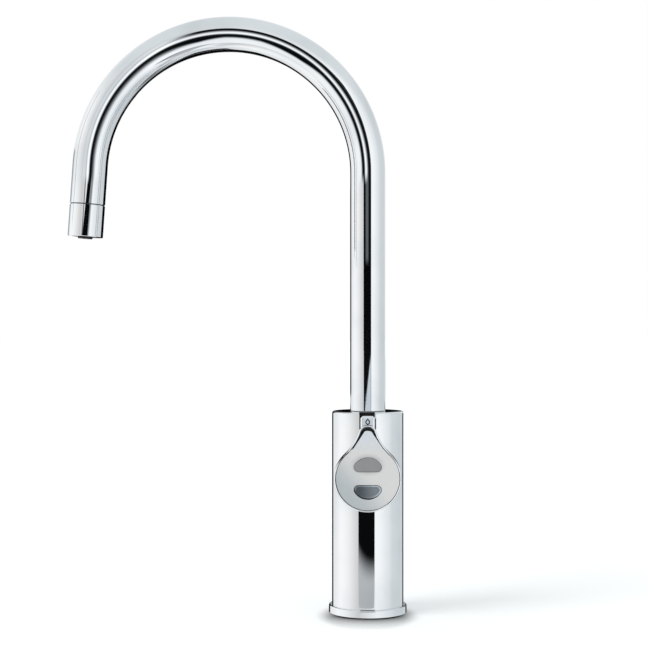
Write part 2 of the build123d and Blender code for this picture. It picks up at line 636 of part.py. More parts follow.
def switch_pins():
    """Two pins that hold the switch between the lugs."""
    return Compound(children=[bar_x(SWITCH_PIN_R, -LUG_OUTER, LUG_OUTER, y, z) for y, z in SWITCH_PINS])


def switch_plunger():
    """Round plunger under the lever's cam."""
    shape = rod(PLUNGER_R, PLUNGER_BOTTOM, PLUNGER_TOP, PLUNGER_X, PLUNGER_Y)
    return fillet(top_edge(shape), 0.35)


# The lever and what it carries

def neck():
    """Neck with its knuckle, a barrel for the pin, a cam for the switch and a counterbore for the spring."""
    profile = Polyline(
        (PAD_BACK - 0.8, NECK_FOOT_Z),
        (PAD_BACK + 3, PIVOT_Z - BARREL_R),
        (PIVOT_Y, PIVOT_Z - BARREL_R),
        (PIVOT_Y, PIVOT_Z + BARREL_R),
        (KNUCKLE_BACK, KNUCKLE_TOP),
        (KNUCKLE_FRONT + 1.6, KNUCKLE_TOP),
        (KNUCKLE_FRONT, KNUCKLE_TOP - 1.4),
        (KNUCKLE_FRONT, NECK_FOOT_Z),
        close=True,
    )
    side_plane = Plane(origin=(-NECK_HALF, 0, 0), x_dir=(0, 1, 0), z_dir=(1, 0, 0))
    shape = extrude(side_plane * (Sketch() + make_face(Wire(profile))), amount=2 * NECK_HALF)
    corner = KNUCKLE_TOP - KNUCKLE_CORNER_R
    outline = below(Rectangle(FAR, FAR), corner)
    outline += Pos(0, corner) * Rectangle(2 * (NECK_HALF - KNUCKLE_CORNER_R), 2 * KNUCKLE_CORNER_R)
    for side in (-1, 1):
        outline += Pos(side * (NECK_HALF - KNUCKLE_CORNER_R), corner) * Circle(KNUCKLE_CORNER_R)
    shape &= front_slab(outline, FAR / 2, -FAR / 2)
    front_edges = shape.edges().filter_by(Axis.Z).sort_by(Axis.Y)[:2]
    shape = fillet(front_edges, KNUCKLE_EDGE_R)
    shape += bar_x(BARREL_R, -NECK_HALF, NECK_HALF, PIVOT_Y, PIVOT_Z)
    cam_y, cam_z = PIVOT_Y + CAM_BACK, PIVOT_Z - CAM_DOWN
    shape += bar_x(CAM_R, PLUNGER_X - CAM_HALF, PLUNGER_X + CAM_HALF, cam_y, cam_z)
    shape -= bar_x(COUNTERBORE_R, BARREL_END, FAR, PIVOT_Y, PIVOT_Z)
    shape -= bar_y(SPRING_WIRE_R + SLIP, PIVOT_Y - FRONT_LEG - 0.3, PIVOT_Y, SPRING_X, LEG_Z)
    return shape - block(SPRING_LEG_X - 0.7, FAR, PIVOT_Y, FAR, 0, PIVOT_Z - 0.2)


def rimmed_pad():
    """The pad's casting before the neck, the windows and the pillars: rim, web and hollow back."""
    shape = front_slab(teardrop(), PAD_BACK, PAD_FRONT)
    shape = fillet(shape.faces().sort_by(Axis.Y)[0].edges(), PAD_FRONT_EDGE_R)
    return fillet(shape.faces().sort_by(Axis.Y)[-1].edges(), PAD_BACK_EDGE_R)


def lever_shell():
    """Chrome casting: rimmed pad with two button windows, neck, knuckle and barrel."""
    shape = rimmed_pad() + neck()
    shape -= front_slab(teardrop(RIM_WIDTH), WEB_FRONT, -FAR)
    shape -= front_slab(below(teardrop(0.85), COVER_TOP_Z), 0, COVER_FRONT)
    shape -= front_slab(teardrop(PAD_WALL), COVER_FRONT, WEB_BACK)
    for side in (-1, 1):
        shape -= front_slab(moon(side, MOON_CLEAR), 0, -FAR)
    shape -= front_slab(drop(SLIP), KNUCKLE_FRONT + LENS_DEPTH, -FAR)
    shape -= bar_y(LED_R + SLIP, KNUCKLE_FRONT + 0.5, -24.0, 0, INDICATOR_Z)
    shape -= block(-1.2, 1.2, LED_LEG_Y - 0.4, LED_LEG_Y + 0.4, NECK_FOOT_Z, INDICATOR_Z)
    shape -= bar_x(PIN_R + SLIP, -FAR, FAR, PIVOT_Y, PIVOT_Z)
    shape -= bar_y(LEVER_LEAD_R + 0.2, COVER_FRONT - OVER, 0, LEAD_X, LEAD_Z)
    for x, z in COVER_SCREWS:
        shape += bar_y(PILLAR_R, WEB_FRONT + OVER, COVER_FRONT, x, z)
        shape -= bar_y(COVER_SCREW_R + SLIP, WEB_BACK, 0, x, z)
    return shape


def face_plate():
    """The satin face: the pad's outline inside the rim, with a flatter top that leaves a crescent open."""
    outline = teardrop(RIM_WIDTH + FACE_GAP)
    middle = FACE_TOP_Z - FACE_TOP_R
    outline = below(outline, middle) + (outline & (Pos(0, middle) * Circle(FACE_TOP_R)))
    shape = front_slab(outline, WEB_FRONT, PAD_FRONT + FACE_RECESS)
    for side in (-1, 1):
        shape -= front_slab(moon(side, MOON_CLEAR), 0, -FAR)
    return shape


def button(side, edge_r):
    """A half-moon button with a flange behind the web and a stem over its switch."""
    flange_front = WEB_BACK + FLANGE_CLEAR
    flange_back = flange_front + 0.7
    head = front_slab(moon(side), flange_front, PAD_FRONT + FACE_RECESS - BUTTON_PROUD)
    head = fillet(head.faces().sort_by(Axis.Y)[0].edges(), edge_r)
    stem = bar_y(STEM_R, flange_front, TACT_TOP - BUTTON_TRAVEL - SLIP, 0, PAD_Z + side * STEM_OFFSET)
    return head + front_slab(moon(side, BUTTON_FLANGE), flange_back, flange_front) + stem


def switch_board():
    """Circuit board behind the buttons, on the casting's three pillars."""
    shape = front_slab(below(teardrop(BOARD_INSET), BOARD_TOP), BOARD_BACK, BOARD_FRONT)
    for x, z in COVER_SCREWS:
        shape -= bar_y(PILLAR_R + 0.2, -FAR, FAR, x, z)
    return shape


def button_switches():
    """Two low tactile switches on the board."""
    solids = []
    for side in (-1, 1):
        z = PAD_Z + side * STEM_OFFSET
        base_front = BOARD_FRONT - 0.4
        base = block(-TACT_HALF, TACT_HALF, base_front, BOARD_FRONT, z - TACT_HALF, z + TACT_HALF)
        solids.append(base + bar_y(TACT_KEY_R, TACT_TOP, BOARD_FRONT - SLIP, 0, z))
    return Compound(children=solids)


def indicator_led():
    """Small lamp behind the lens, with its two legs down to the board."""
    shape = bar_y(LED_R, KNUCKLE_FRONT + LENS_DEPTH + 0.1, LED_BACK, 0, INDICATOR_Z)
    for x in (-0.6, 0.6):
        shape += block(x - 0.2, x + 0.2, LED_LEG_Y - 0.15, LED_LEG_Y + 0.15, BOARD_TOP + SLIP, INDICATOR_Z)
    return shape


def indicator_lens():
    """Drop-shaped lens in the knuckle's front."""
    return front_slab(drop(), KNUCKLE_FRONT + LENS_DEPTH, KNUCKLE_FRONT - 0.1)


def back_cover():
    """Black cover that closes the pad's back."""
    shape = front_slab(below(teardrop(0.9), COVER_TOP_Z - SLIP), PAD_BACK - SLIP, COVER_FRONT)
    for x, z in COVER_SCREWS:
        shape -= bar_y(COVER_SCREW_R + 0.25, -FAR, 0, x, z)
        shape -= bar_y(COVER_SCREW_HEAD_R + 0.1, COVER_FRONT + 0.6, 0, x, z)
    return shape - bar_y(BUMPER_R + 0.1, COVER_FRONT + 0.7, 0, 0, BUMPER_Z)


def cover_screws():
    """Three slotted screws through the cover into the pillars."""
    solids = []
    for x, z in COVER_SCREWS:
        one = bar_y(COVER_SCREW_R, COVER_FRONT - 2.4, COVER_FRONT + 0.7, x, z)
        one += bar_y(COVER_SCREW_HEAD_R, COVER_FRONT + 0.6, PAD_BACK - 0.15, x, z)
        solids.append(one - block(x - 1.2, x + 1.2, PAD_BACK - 0.5, 0, z - 0.22, z + 0.22))
    return Compound(children=solids)


def lever_bumper():
    """Soft button on the lever's back. It rests on the body when the lever is down."""
    shape = bar_y(BUMPER_R, COVER_FRONT + 0.7, -BODY_R - BUMPER_CLEAR, 0, BUMPER_Z)
    return fillet(back_edge(shape), 0.5)


def lever_lead():
    """Short limp lead from the lever's board through the notch, down into the top of the switch."""
    corner = (LEAD_X, LEAD_END_Y, LEAD_Z)
    points = [(LEAD_X, BOARD_BACK, LEAD_Z), corner, (LEAD_X, LEAD_END_Y, SWITCH_TOP + GLAND)]
    path = FilletPolyline(*points, radius=LEVER_LEAD_BEND_R)
    print("lever lead: radius", LEVER_LEAD_BEND_R, "mm, length", round(path.length, 1))
    return sweep(Plane(origin=points[0], z_dir=(0, 1, 0)) * Circle(LEVER_LEAD_R), path=path)


MAKERS = [
    spout_tube, inner_tube, spout_tail, tail_orings,
    nozzle_nipple, nozzle_sleeve, outlet_insert, outlet_oring,
    body_shell, base_ring, deck_gasket, base_block, signal_socket, signal_lead,
    swivel_housing, upper_bush, lower_bush, port_gasket, port_block, inner_tube_oring,
    port_screws, housing_screws, stop_screw, access_plug,
    hinge_bracket, bracket_screws, hinge_pin, lever_spring,
    dispense_switch, switch_pins, switch_plunger,
    lever_shell, face_plate, switch_board, button_switches, indicator_led, indicator_lens,
    back_cover, cover_screws, lever_bumper, lever_lead,
]

os.makedirs("parts", exist_ok=True)
shapes = {maker.__name__: maker() for maker in MAKERS}
for name, y in (("hot", 0), ("cold", COLD_Y)):
    shapes[f"{name}_inlet_fitting"] = inlet_fitting(y)
    shapes[f"{name}_feed_tube"] = feed_tube(y)
shapes["select_button"] = button(1, 0.4)
shapes["safety_button"] = button(-1, 1.3)
for node, shape in shapes.items():
    export_step(shape, f"parts/{node}.step")
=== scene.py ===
"""Dresses the filtered-water kitchen tap.

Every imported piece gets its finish. The gooseneck, the spring and the lead across the hinge follow a
rule, so they are made anew here.

Metres, +Z up, with the origin at the centre of the seat on the worktop. The lever faces -Y, and at
rest the spout points along -X.
"""

import logging
import math
from collections.abc import Sequence
from dataclasses import dataclass, field
from enum import Enum

import bpy
from mathutils import Euler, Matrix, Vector


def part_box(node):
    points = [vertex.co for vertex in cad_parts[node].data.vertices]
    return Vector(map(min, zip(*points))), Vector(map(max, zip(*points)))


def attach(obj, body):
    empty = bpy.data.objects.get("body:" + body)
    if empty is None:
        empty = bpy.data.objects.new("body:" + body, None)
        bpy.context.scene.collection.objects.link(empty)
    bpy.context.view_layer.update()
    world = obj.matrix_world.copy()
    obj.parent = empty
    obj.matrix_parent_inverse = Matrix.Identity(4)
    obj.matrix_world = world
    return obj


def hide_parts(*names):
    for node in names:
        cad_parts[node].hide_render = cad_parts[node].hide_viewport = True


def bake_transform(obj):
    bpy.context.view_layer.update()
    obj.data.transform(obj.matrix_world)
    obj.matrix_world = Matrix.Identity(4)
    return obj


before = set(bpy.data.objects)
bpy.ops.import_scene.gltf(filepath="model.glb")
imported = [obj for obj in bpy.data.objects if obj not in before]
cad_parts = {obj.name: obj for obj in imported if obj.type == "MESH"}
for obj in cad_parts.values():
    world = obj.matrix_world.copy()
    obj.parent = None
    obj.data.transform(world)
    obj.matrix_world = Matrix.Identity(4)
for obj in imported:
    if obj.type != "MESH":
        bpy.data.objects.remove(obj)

log = logging.getLogger("tap")

MM = 0.001

Colour = tuple[float, float, float, float]
Point = tuple[float, float, float]
Pair = tuple[float, float]
Tree = bpy.types.NodeTree
Node = bpy.types.Node
Socket = bpy.types.NodeSocket
Material = bpy.types.Material
Object = bpy.types.Object


class Body(Enum):
    """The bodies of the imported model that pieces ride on."""

    TAP = "tap_body"
    SPOUT = "spout"
    LEVER = "lever"


class Slot(Enum):
    """The record's material slots for chrome, stainless and black lead; nothing here uses them."""

    CHROME = "chrome"
    STAINLESS = "stainless"
    LEAD = "lead_black"


def linear(hex_colour: str) -> Colour:
    """Turn an sRGB hex colour into linear light, by the standard's own curve.

    Args:
        hex_colour: Six hex digits, such as "E6E8EB".

    Returns:
        Red, green, blue and an alpha of 1.
    """
    parts = [int(hex_colour[i:i + 2], 16) / 255 for i in (0, 2, 4)]
    red, green, blue = (p / 12.92 if p <= 0.04045 else ((p + 0.055) / 1.055) ** 2.4 for p in parts)
    return red, green, blue, 1.0


def add(tree: Tree, kind: str, inputs: dict[str | int, object] | None = None,
        **settings: object) -> Node:
    """Add a node with its settings, values and links.

    Args:
        tree: The shader or geometry tree that gets the node.
        kind: Blender's name for the node's type.
        inputs: A socket to link from, or a value, for each input's name or number.
        **settings: The node's own properties.

    Returns:
        The new node.
    """
    node = tree.nodes.new(kind)
    for name, value in settings.items():
        setattr(node, name, value)
    for name, value in (inputs or {}).items():
        if isinstance(value, Socket):
            tree.links.new(value, node.inputs[name])
        else:
            node.inputs[name].default_value = value
    return node


def where_all(tree: Tree, tests: Sequence[tuple[Socket, str, float | Socket]]) -> Socket:
    """Mark where every one of some comparisons holds.

    Args:
        tree: The tree that gets the nodes.
        tests: For each comparison its value, its operation and its limit.

    Returns:
        1 where all of them hold and 0 elsewhere.
    """
    held = None
    for value, operation, limit in tests:
        test = add(tree, "ShaderNodeMath", {0: value, 1: limit}, operation=operation).outputs[0]
        held = test if held is None else add(tree, "ShaderNodeMath", {
            0: held, 1: test,
        }, operation="MULTIPLY").outputs[0]
    return held


def set_stops(ramp: bpy.types.ColorRamp, stops: Sequence[tuple[float, Colour]]) -> None:
    """Give a new colour ramp its stops.

    Args:
        ramp: The ramp.
        stops: For each stop its place, from 0 to 1, and its colour.
    """
    while len(ramp.elements) < len(stops):
        ramp.elements.new(0.5)
    for element, (place, colour) in zip(ramp.elements, stops):
        element.position = place
        element.color = colour


def blank_tree(owner: Material | bpy.types.World) -> Tree:
    """Turn on the nodes of a material or world and clear them.

    Args:
        owner: The material or world.

    Returns:
        Its empty tree.
    """
    owner.use_nodes = True
    owner.node_tree.nodes.clear()
    return owner.node_tree


def rectangle(name: str, size: Pair, material: Material) -> Object:
    """Lay a flat rectangle round the origin.

    Args:
        name: The new object's name.
        size: Its width and depth.
        material: Its material.

    Returns:
        The new object, linked to the scene.
    """
    x, y = size[0] / 2, size[1] / 2
    mesh = bpy.data.meshes.new(name)
    mesh.from_pydata([(-x, -y, 0), (x, -y, 0), (x, y, 0), (-x, y, 0)], [], [(0, 1, 2, 3)])
    mesh.materials.append(material)
    made = bpy.data.objects.new(name, mesh)
    bpy.context.scene.collection.objects.link(made)
    return made


def evaluated_mesh(piece: Object) -> bpy.types.Mesh:
    """Return a plain mesh of what a piece's modifiers make of it."""
    depsgraph = bpy.context.evaluated_depsgraph_get()
    return bpy.data.meshes.new_from_object(piece.evaluated_get(depsgraph), depsgraph=depsgraph)


@dataclass(frozen=True)
class Finish:
    """A finish that can be made into a material."""

    name: str

    def material(self) -> Material:
        """Build the material.

        Returns:
            The new material, named for the finish.
        """
        made = bpy.data.materials.new(self.name)
        tree = blank_tree(made)
        place = add(tree, "ShaderNodeTexCoord").outputs["Object"]
        add(tree, "ShaderNodeOutputMaterial", {"Surface": self.surface(tree, place).outputs[0]})
        return made

    def surface(self, tree: Tree, place: Socket) -> Node:
        """Build the shader.

        Args:
            tree: The material's tree.
            place: Object coordinates in metres.

        Returns:
            The node whose first output is the surface.
        """
        raise NotImplementedError


@dataclass(frozen=True)
class ChromePlate(Finish):
    """Bright chrome on polished brass: a near mirror, a little blue, with faint wipe marks.

    The eye reads it from crisp reflections that waver slightly, and from broad, barely visible
    smears.
    """

    name: str = "bright_chrome_plate"
    bright: str = "EFF1F3"
    dull: str = "E2E5E8"
    roughness: float = 0.025
    smear_roughness: float = 0.055
    smear_mm: float = 38.0
    smear_range: Pair = (0.4, 0.75)
    wave_mm: float = 9.0
    wave_height_mm: float = 0.0012

    def surface(self, tree: Tree, place: Socket) -> Node:
        """Build a mirror whose smears are duller, on a skin with shallow waves.

        Args:
            tree: The material's tree.
            place: Object coordinates in metres.

        Returns:
            The node whose first output is the surface.
        """
        smear = add(tree, "ShaderNodeTexNoise", {
            "Vector": place, "Scale": 1 / (self.smear_mm * MM), "Detail": 3.0,
        })
        share = add(tree, "ShaderNodeMapRange", {
            "Value": smear.outputs["Fac"],
            "From Min": self.smear_range[0], "From Max": self.smear_range[1],
        }, interpolation_type="SMOOTHSTEP")
        colour = add(tree, "ShaderNodeMix", {
            "Factor": share.outputs["Result"], "A": linear(self.bright), "B": linear(self.dull),
        }, data_type="RGBA")
        rough = add(tree, "ShaderNodeMapRange", {
            "Value": share.outputs["Result"],
            "To Min": self.roughness, "To Max": self.smear_roughness,
        })
        wave = add(tree, "ShaderNodeTexNoise", {
            "Vector": place, "Scale": 1 / (self.wave_mm * MM), "Detail": 1.0,
        })
        bump = add(tree, "ShaderNodeBump", {
            "Height": wave.outputs["Fac"], "Strength": 1.0, "Distance": self.wave_height_mm * MM,
        })
        return add(tree, "ShaderNodeBsdfPrincipled", {
            "Base Color": colour.outputs["Result"], "Metallic": 1.0,
            "Roughness": rough.outputs["Result"], "Normal": bump.outputs["Normal"],
        })


@dataclass(frozen=True)
class ChromeWithPaintedShade(ChromePlate):
    """The same plate with dark places of painted shade in narrow gaps and recesses."""

    # The painted shade's colour and roughness.
    dark: str = "101112"
    painted_shade_roughness: float = 0.5

    def surface(self, tree: Tree, place: Socket) -> Node:
        """Build the plate and put the painted shade over it.

        Args:
            tree: The material's tree.
            place: Object coordinates in metres.

        Returns:
            The node whose first output is the surface.
        """
        plate = super().surface(tree, place)
        dark = add(tree, "ShaderNodeBsdfPrincipled", {
            "Base Color": linear(self.dark), "Roughness": self.painted_shade_roughness,
        })
        return add(tree, "ShaderNodeMixShader", {
            0: self.painted_shade_mask(tree, place), 1: plate.outputs[0], 2: dark.outputs[0],
        })

    def painted_shade_mask(self, tree: Tree, place: Socket) -> Socket:
        """Mark where the shade is painted.

        Args:
            tree: The material's tree.
            place: Object coordinates in metres.

        Returns:
            1 on them and 0 off them.
        """
        raise NotImplementedError


@dataclass(frozen=True)
class RecessedChrome(ChromeWithPaintedShade):
    """The plate on the pad, with painted shade on the floor of its recess and a painted dark
    reflection on the rim's rounded shoulders, both black.

    The eye reads the black as the shadowed gap between the face plate and the rim, and as the dark
    crescents that set the pad's shoulders off from the body.
    """

    name: str = "bright_chrome_plate_with_painted_shade_in_recess"
    # Where the recess's painted shade lies, then where the shoulders' painted dark reflection lies.
    recess_y_mm: Pair = (-30.55, -29.4)
    recess_facing: float = -0.9
    shoulder_z_mm: float = 99.5
    shoulder_reach_mm: float = 8.5
    shoulder_y_mm: float = -29.3
    shoulder_upward: float = 0.05
    left_from: float = 0.03
    right_from: float = 0.16

    def painted_shade_mask(self, tree: Tree, place: Socket) -> Socket:
        """Mark the painted shade in the recess and the painted dark reflection on the shoulders.

        Args:
            tree: The material's tree.
            place: Object coordinates in metres.

        Returns:
            1 on them and 0 off them.
        """
        axes = add(tree, "ShaderNodeSeparateXYZ", {"Vector": place})
        facing = add(tree, "ShaderNodeSeparateXYZ", {
            "Vector": add(tree, "ShaderNodeNewGeometry").outputs["True Normal"],
        })
        recess = where_all(tree, (
            (axes.outputs["Y"], "GREATER_THAN", self.recess_y_mm[0] * MM),
            (axes.outputs["Y"], "LESS_THAN", self.recess_y_mm[1] * MM),
            (facing.outputs["Y"], "LESS_THAN", self.recess_facing),
        ))
        return add(tree, "ShaderNodeMath", {
            0: recess, 1: self._shoulders(tree, axes),
        }, operation="MAXIMUM").outputs[0]

    def _shoulders(self, tree: Tree, axes: Node) -> Socket:
        """Mark the painted dark reflection on the outer part of the rim's rounded edge, widest where
        the shoulders slope most.

        Args:
            tree: The material's tree.
            axes: The node that gives X, Y and Z apart.

        Returns:
            1 on the crescents and 0 off them.
        """
        way = add(tree, "ShaderNodeSeparateXYZ", {
            "Vector": add(tree, "ShaderNodeTexCoord").outputs["Normal"],
        })
        tilt = add(tree, "ShaderNodeMath", {0: way.outputs["Y"], 1: 1.0}, operation="ADD")
        along = add(tree, "ShaderNodeMapRange", {
            "Value": axes.outputs["Z"], "From Min": self.shoulder_z_mm * MM,
            "From Max": (self.shoulder_z_mm + self.shoulder_reach_mm) * MM,
        }, clamp=False)
        bow = add(tree, "ShaderNodeMath", {
            0: along.outputs[0], 1: along.outputs[0],
        }, operation="MULTIPLY")
        right = add(tree, "ShaderNodeMath", {
            0: axes.outputs["X"], 1: 0.0,
        }, operation="GREATER_THAN")
        start = add(tree, "ShaderNodeMapRange", {
            "Value": right.outputs[0], "To Min": self.left_from, "To Max": self.right_from,
        })
        limit = add(tree, "ShaderNodeMath", {
            0: bow.outputs[0], 1: start.outputs[0],
        }, operation="ADD")
        outward = add(tree, "ShaderNodeMath", {
            0: way.outputs["X"], 1: axes.outputs["X"],
        }, operation="MULTIPLY")
        return where_all(tree, (
            (tilt.outputs[0], "GREATER_THAN", limit.outputs[0]),
            (outward.outputs[0], "GREATER_THAN", 0.0),
            (way.outputs["Z"], "GREATER_THAN", self.shoulder_upward),
            (axes.outputs["Y"], "LESS_THAN", self.shoulder_y_mm * MM),
        ))


@dataclass(frozen=True)
class NotchedChrome(ChromeWithPaintedShade):
    """The plate on the body shell, with painted shade on the walls of the lever's notch.

    The eye reads a black gap round the lever's neck. The painted shade lies a little to the left of
    the middle, so that it stops short of the right wall, which stays bright.
    """

    name: str = "bright_chrome_plate_with_painted_shade_in_notch"
    # The painted shade's colour.
    dark: str = "0E0F10"
    notch_half_mm: float = 4.9
    # How far to the left of the middle the painted shade lies, so the right wall stays bright.
    shade_shift_mm: float = 0.5
    notch_bottom_mm: float = 110.4
    deck_mm: float = 126.45
    front_y_mm: float = -14.0
    skin_mm: float = 22.35

    def painted_shade_mask(self, tree: Tree, place: Socket) -> Socket:
        """Mark the painted shade on the notch's walls, which lie below the body's skin.

        Args:
            tree: The material's tree.
            place: Object coordinates in metres.

        Returns:
            1 on them and 0 off them.
        """
        axes = add(tree, "ShaderNodeSeparateXYZ", {"Vector": place})
        across = add(tree, "ShaderNodeMath", {
            0: axes.outputs["X"], 1: self.shade_shift_mm * MM,
        }, operation="ADD")
        width = add(tree, "ShaderNodeMath", {0: across.outputs[0]}, operation="ABSOLUTE")
        level = add(tree, "ShaderNodeVectorMath", {
            0: place, 1: (1.0, 1.0, 0.0),
        }, operation="MULTIPLY")
        radius = add(tree, "ShaderNodeVectorMath", {0: level.outputs[0]}, operation="LENGTH")
        return where_all(tree, (
            (width.outputs[0], "LESS_THAN", self.notch_half_mm * MM),
            (axes.outputs["Z"], "GREATER_THAN", self.notch_bottom_mm * MM),
            (axes.outputs["Z"], "LESS_THAN", self.deck_mm * MM),
            (axes.outputs["Y"], "LESS_THAN", self.front_y_mm * MM),
            (radius.outputs["Value"], "LESS_THAN", self.skin_mm * MM),
        ))


@dataclass(frozen=True)
class Metal(Finish):
    """Plain metal with the marks of how it was made.

    The eye reads a fine grain in its gloss and in its colour, drawn out along the tool's way. The
    grain is drawn several times coarser than real tool marks, which wouldn't show.
    """

    light: str
    dark: str
    roughness: float
    grain_mm: float
    stretch: Point = (1.0, 1.0, 1.0)
    height_mm: float = 0.004
    spread: float = 0.3

    def surface(self, tree: Tree, place: Socket) -> Node:
        """Build a grained metal.

        Args:
            tree: The material's tree.
            place: Object coordinates in metres.

        Returns:
            The node whose first output is the surface.
        """
        along = add(tree, "ShaderNodeMapping", {"Vector": place, "Scale": self.stretch})
        grain = add(tree, "ShaderNodeTexNoise", {
            "Vector": along.outputs["Vector"], "Scale": 1 / (self.grain_mm * MM), "Detail": 4.0,
        })
        colour = add(tree, "ShaderNodeMix", {
            "Factor": grain.outputs["Fac"], "A": linear(self.dark), "B": linear(self.light),
        }, data_type="RGBA")
        rough = add(tree, "ShaderNodeMapRange", {
            "Value": grain.outputs["Fac"],
            "To Min": self.roughness * (1 - self.spread),
            "To Max": self.roughness * (1 + self.spread),
        })
        bump = add(tree, "ShaderNodeBump", {
            "Height": grain.outputs["Fac"], "Distance": self.height_mm * MM,
        })
        return add(tree, "ShaderNodeBsdfPrincipled", {
            "Base Color": colour.outputs["Result"], "Metallic": 1.0,
            "Roughness": rough.outputs["Result"], "Normal": bump.outputs["Normal"],
        })


@dataclass(frozen=True)
class SatinFace(Finish):
    """Satin silver lacquer on the face plate: a fine blasted grain under a thin lacquer.

    The eye reads an even, pale grey sheen. Painted shade makes it darker and bluer low on the left,
    a painted reflection makes it bluer at the top, painted shade darkens it round the button above
    the middle, and painted shade darkens a line down each flank's gap. The grain of such blasting is
    about 0.05 mm. It is drawn at 0.35 mm, because it wouldn't show.
    """

    name: str = "satin_silver_lacquer"
    pale: str = "DDDCDB"
    # Painted light: shade low left, reflection on top, shade round the button, shade on the flanks.
    shaded_corner: str = "B9BFC2"
    top_reflection: str = "D9DEE3"
    button_shade: str = "B2B2B3"
    shadow: str = "060607"
    metallic: float = 0.1
    roughness: float = 0.42
    roughness_spread: float = 0.05
    grain_mm: float = 0.35
    grain_height_mm: float = 0.004
    # Where the painted shade low on the left and the painted reflection at the top lie.
    shaded_corner_way: Point = (-22.0, 0.0, -20.0)
    shaded_corner_range: Pair = (-1.85, -1.25)
    top_reflection_z_mm: Pair = (101.0, 112.0)
    # Where the painted shade round the button lies, and how strong it is.
    button_shade_centre_mm: Point = (0.0, -31.0, 95.4)
    button_shade_reach_mm: Point = (11.6, 40.0, 7.6)
    button_shade_from: float = 0.45
    button_shade_share: float = 0.8
    # Where the painted shade along each flank's gap lies, and how wide it is.
    flank_top_mm: Pair = (5.03, 112.9)
    flank_outwards: Pair = (0.8595, 0.511)
    flank_length_mm: float = 8.6
    flank_fade_mm: float = 1.2
    flank_soft_mm: float = 0.1
    left_flank_mm: Pair = (1.2, 0.75)
    right_flank_mm: Pair = (0.85, 0.2)

    def surface(self, tree: Tree, place: Socket) -> Node:
        """Build the lacquer, with the painted shade low on the left, the painted reflection at the
        top, the painted shade round the button and the painted shade along the flanks.

        Args:
            tree: The material's tree.
            place: Object coordinates in metres.

        Returns:
            The node whose first output is the surface.
        """
        grain = add(tree, "ShaderNodeTexNoise", {
            "Vector": place, "Scale": 1 / (self.grain_mm * MM), "Detail": 2.0,
        })
        slope = add(tree, "ShaderNodeVectorMath", {
            0: place, 1: self.shaded_corner_way,
        }, operation="DOT_PRODUCT")
        shaded_corner = add(tree, "ShaderNodeMapRange", {
            "Value": slope.outputs["Value"],
            "From Min": self.shaded_corner_range[0], "From Max": self.shaded_corner_range[1],
        }, interpolation_type="SMOOTHSTEP")
        base = add(tree, "ShaderNodeMix", {
            "Factor": shaded_corner.outputs["Result"], "A": linear(self.pale), "B": linear(self.shaded_corner),
        }, data_type="RGBA")
        height = add(tree, "ShaderNodeSeparateXYZ", {"Vector": place})
        top = add(tree, "ShaderNodeMapRange", {
            "Value": height.outputs["Z"],
            "From Min": self.top_reflection_z_mm[0] * MM, "From Max": self.top_reflection_z_mm[1] * MM,
        }, interpolation_type="SMOOTHSTEP")
        with_top_reflection = add(tree, "ShaderNodeMix", {
            "Factor": top.outputs["Result"], "A": base.outputs["Result"], "B": linear(self.top_reflection),
        }, data_type="RGBA")
        spot = add(tree, "ShaderNodeMapping", {
            "Vector": place,
            "Location": tuple(v * MM for v in self.button_shade_centre_mm),
            "Scale": tuple(v * MM for v in self.button_shade_reach_mm),
        }, vector_type="TEXTURE")
        far = add(tree, "ShaderNodeVectorMath", {0: spot.outputs["Vector"]}, operation="LENGTH")
        button_shade = add(tree, "ShaderNodeMapRange", {
            "Value": far.outputs["Value"], "From Min": self.button_shade_from, "From Max": 1.0,
            "To Min": self.button_shade_share, "To Max": 0.0,
        }, interpolation_type="SMOOTHSTEP")
        colour = add(tree, "ShaderNodeMix", {
            "Factor": button_shade.outputs["Result"],
            "A": with_top_reflection.outputs["Result"], "B": linear(self.button_shade),
        }, data_type="RGBA")
        flank_shade = add(tree, "ShaderNodeMath", {
            0: self._flank(tree, place, -1.0, self.left_flank_mm),
            1: self._flank(tree, place, 1.0, self.right_flank_mm),
        }, operation="MAXIMUM")
        with_flank_shade = add(tree, "ShaderNodeMix", {
            "Factor": flank_shade.outputs[0], "A": colour.outputs["Result"], "B": linear(self.shadow),
        }, data_type="RGBA")
        rough = add(tree, "ShaderNodeMapRange", {
            "Value": grain.outputs["Fac"],
            "To Min": self.roughness - self.roughness_spread,
            "To Max": self.roughness + self.roughness_spread,
        })
        bump = add(tree, "ShaderNodeBump", {
            "Height": grain.outputs["Fac"], "Distance": self.grain_height_mm * MM,
        })
        return add(tree, "ShaderNodeBsdfPrincipled", {
            "Base Color": with_flank_shade.outputs["Result"], "Metallic": self.metallic,
            "Roughness": rough.outputs["Result"], "Normal": bump.outputs["Normal"],
        })

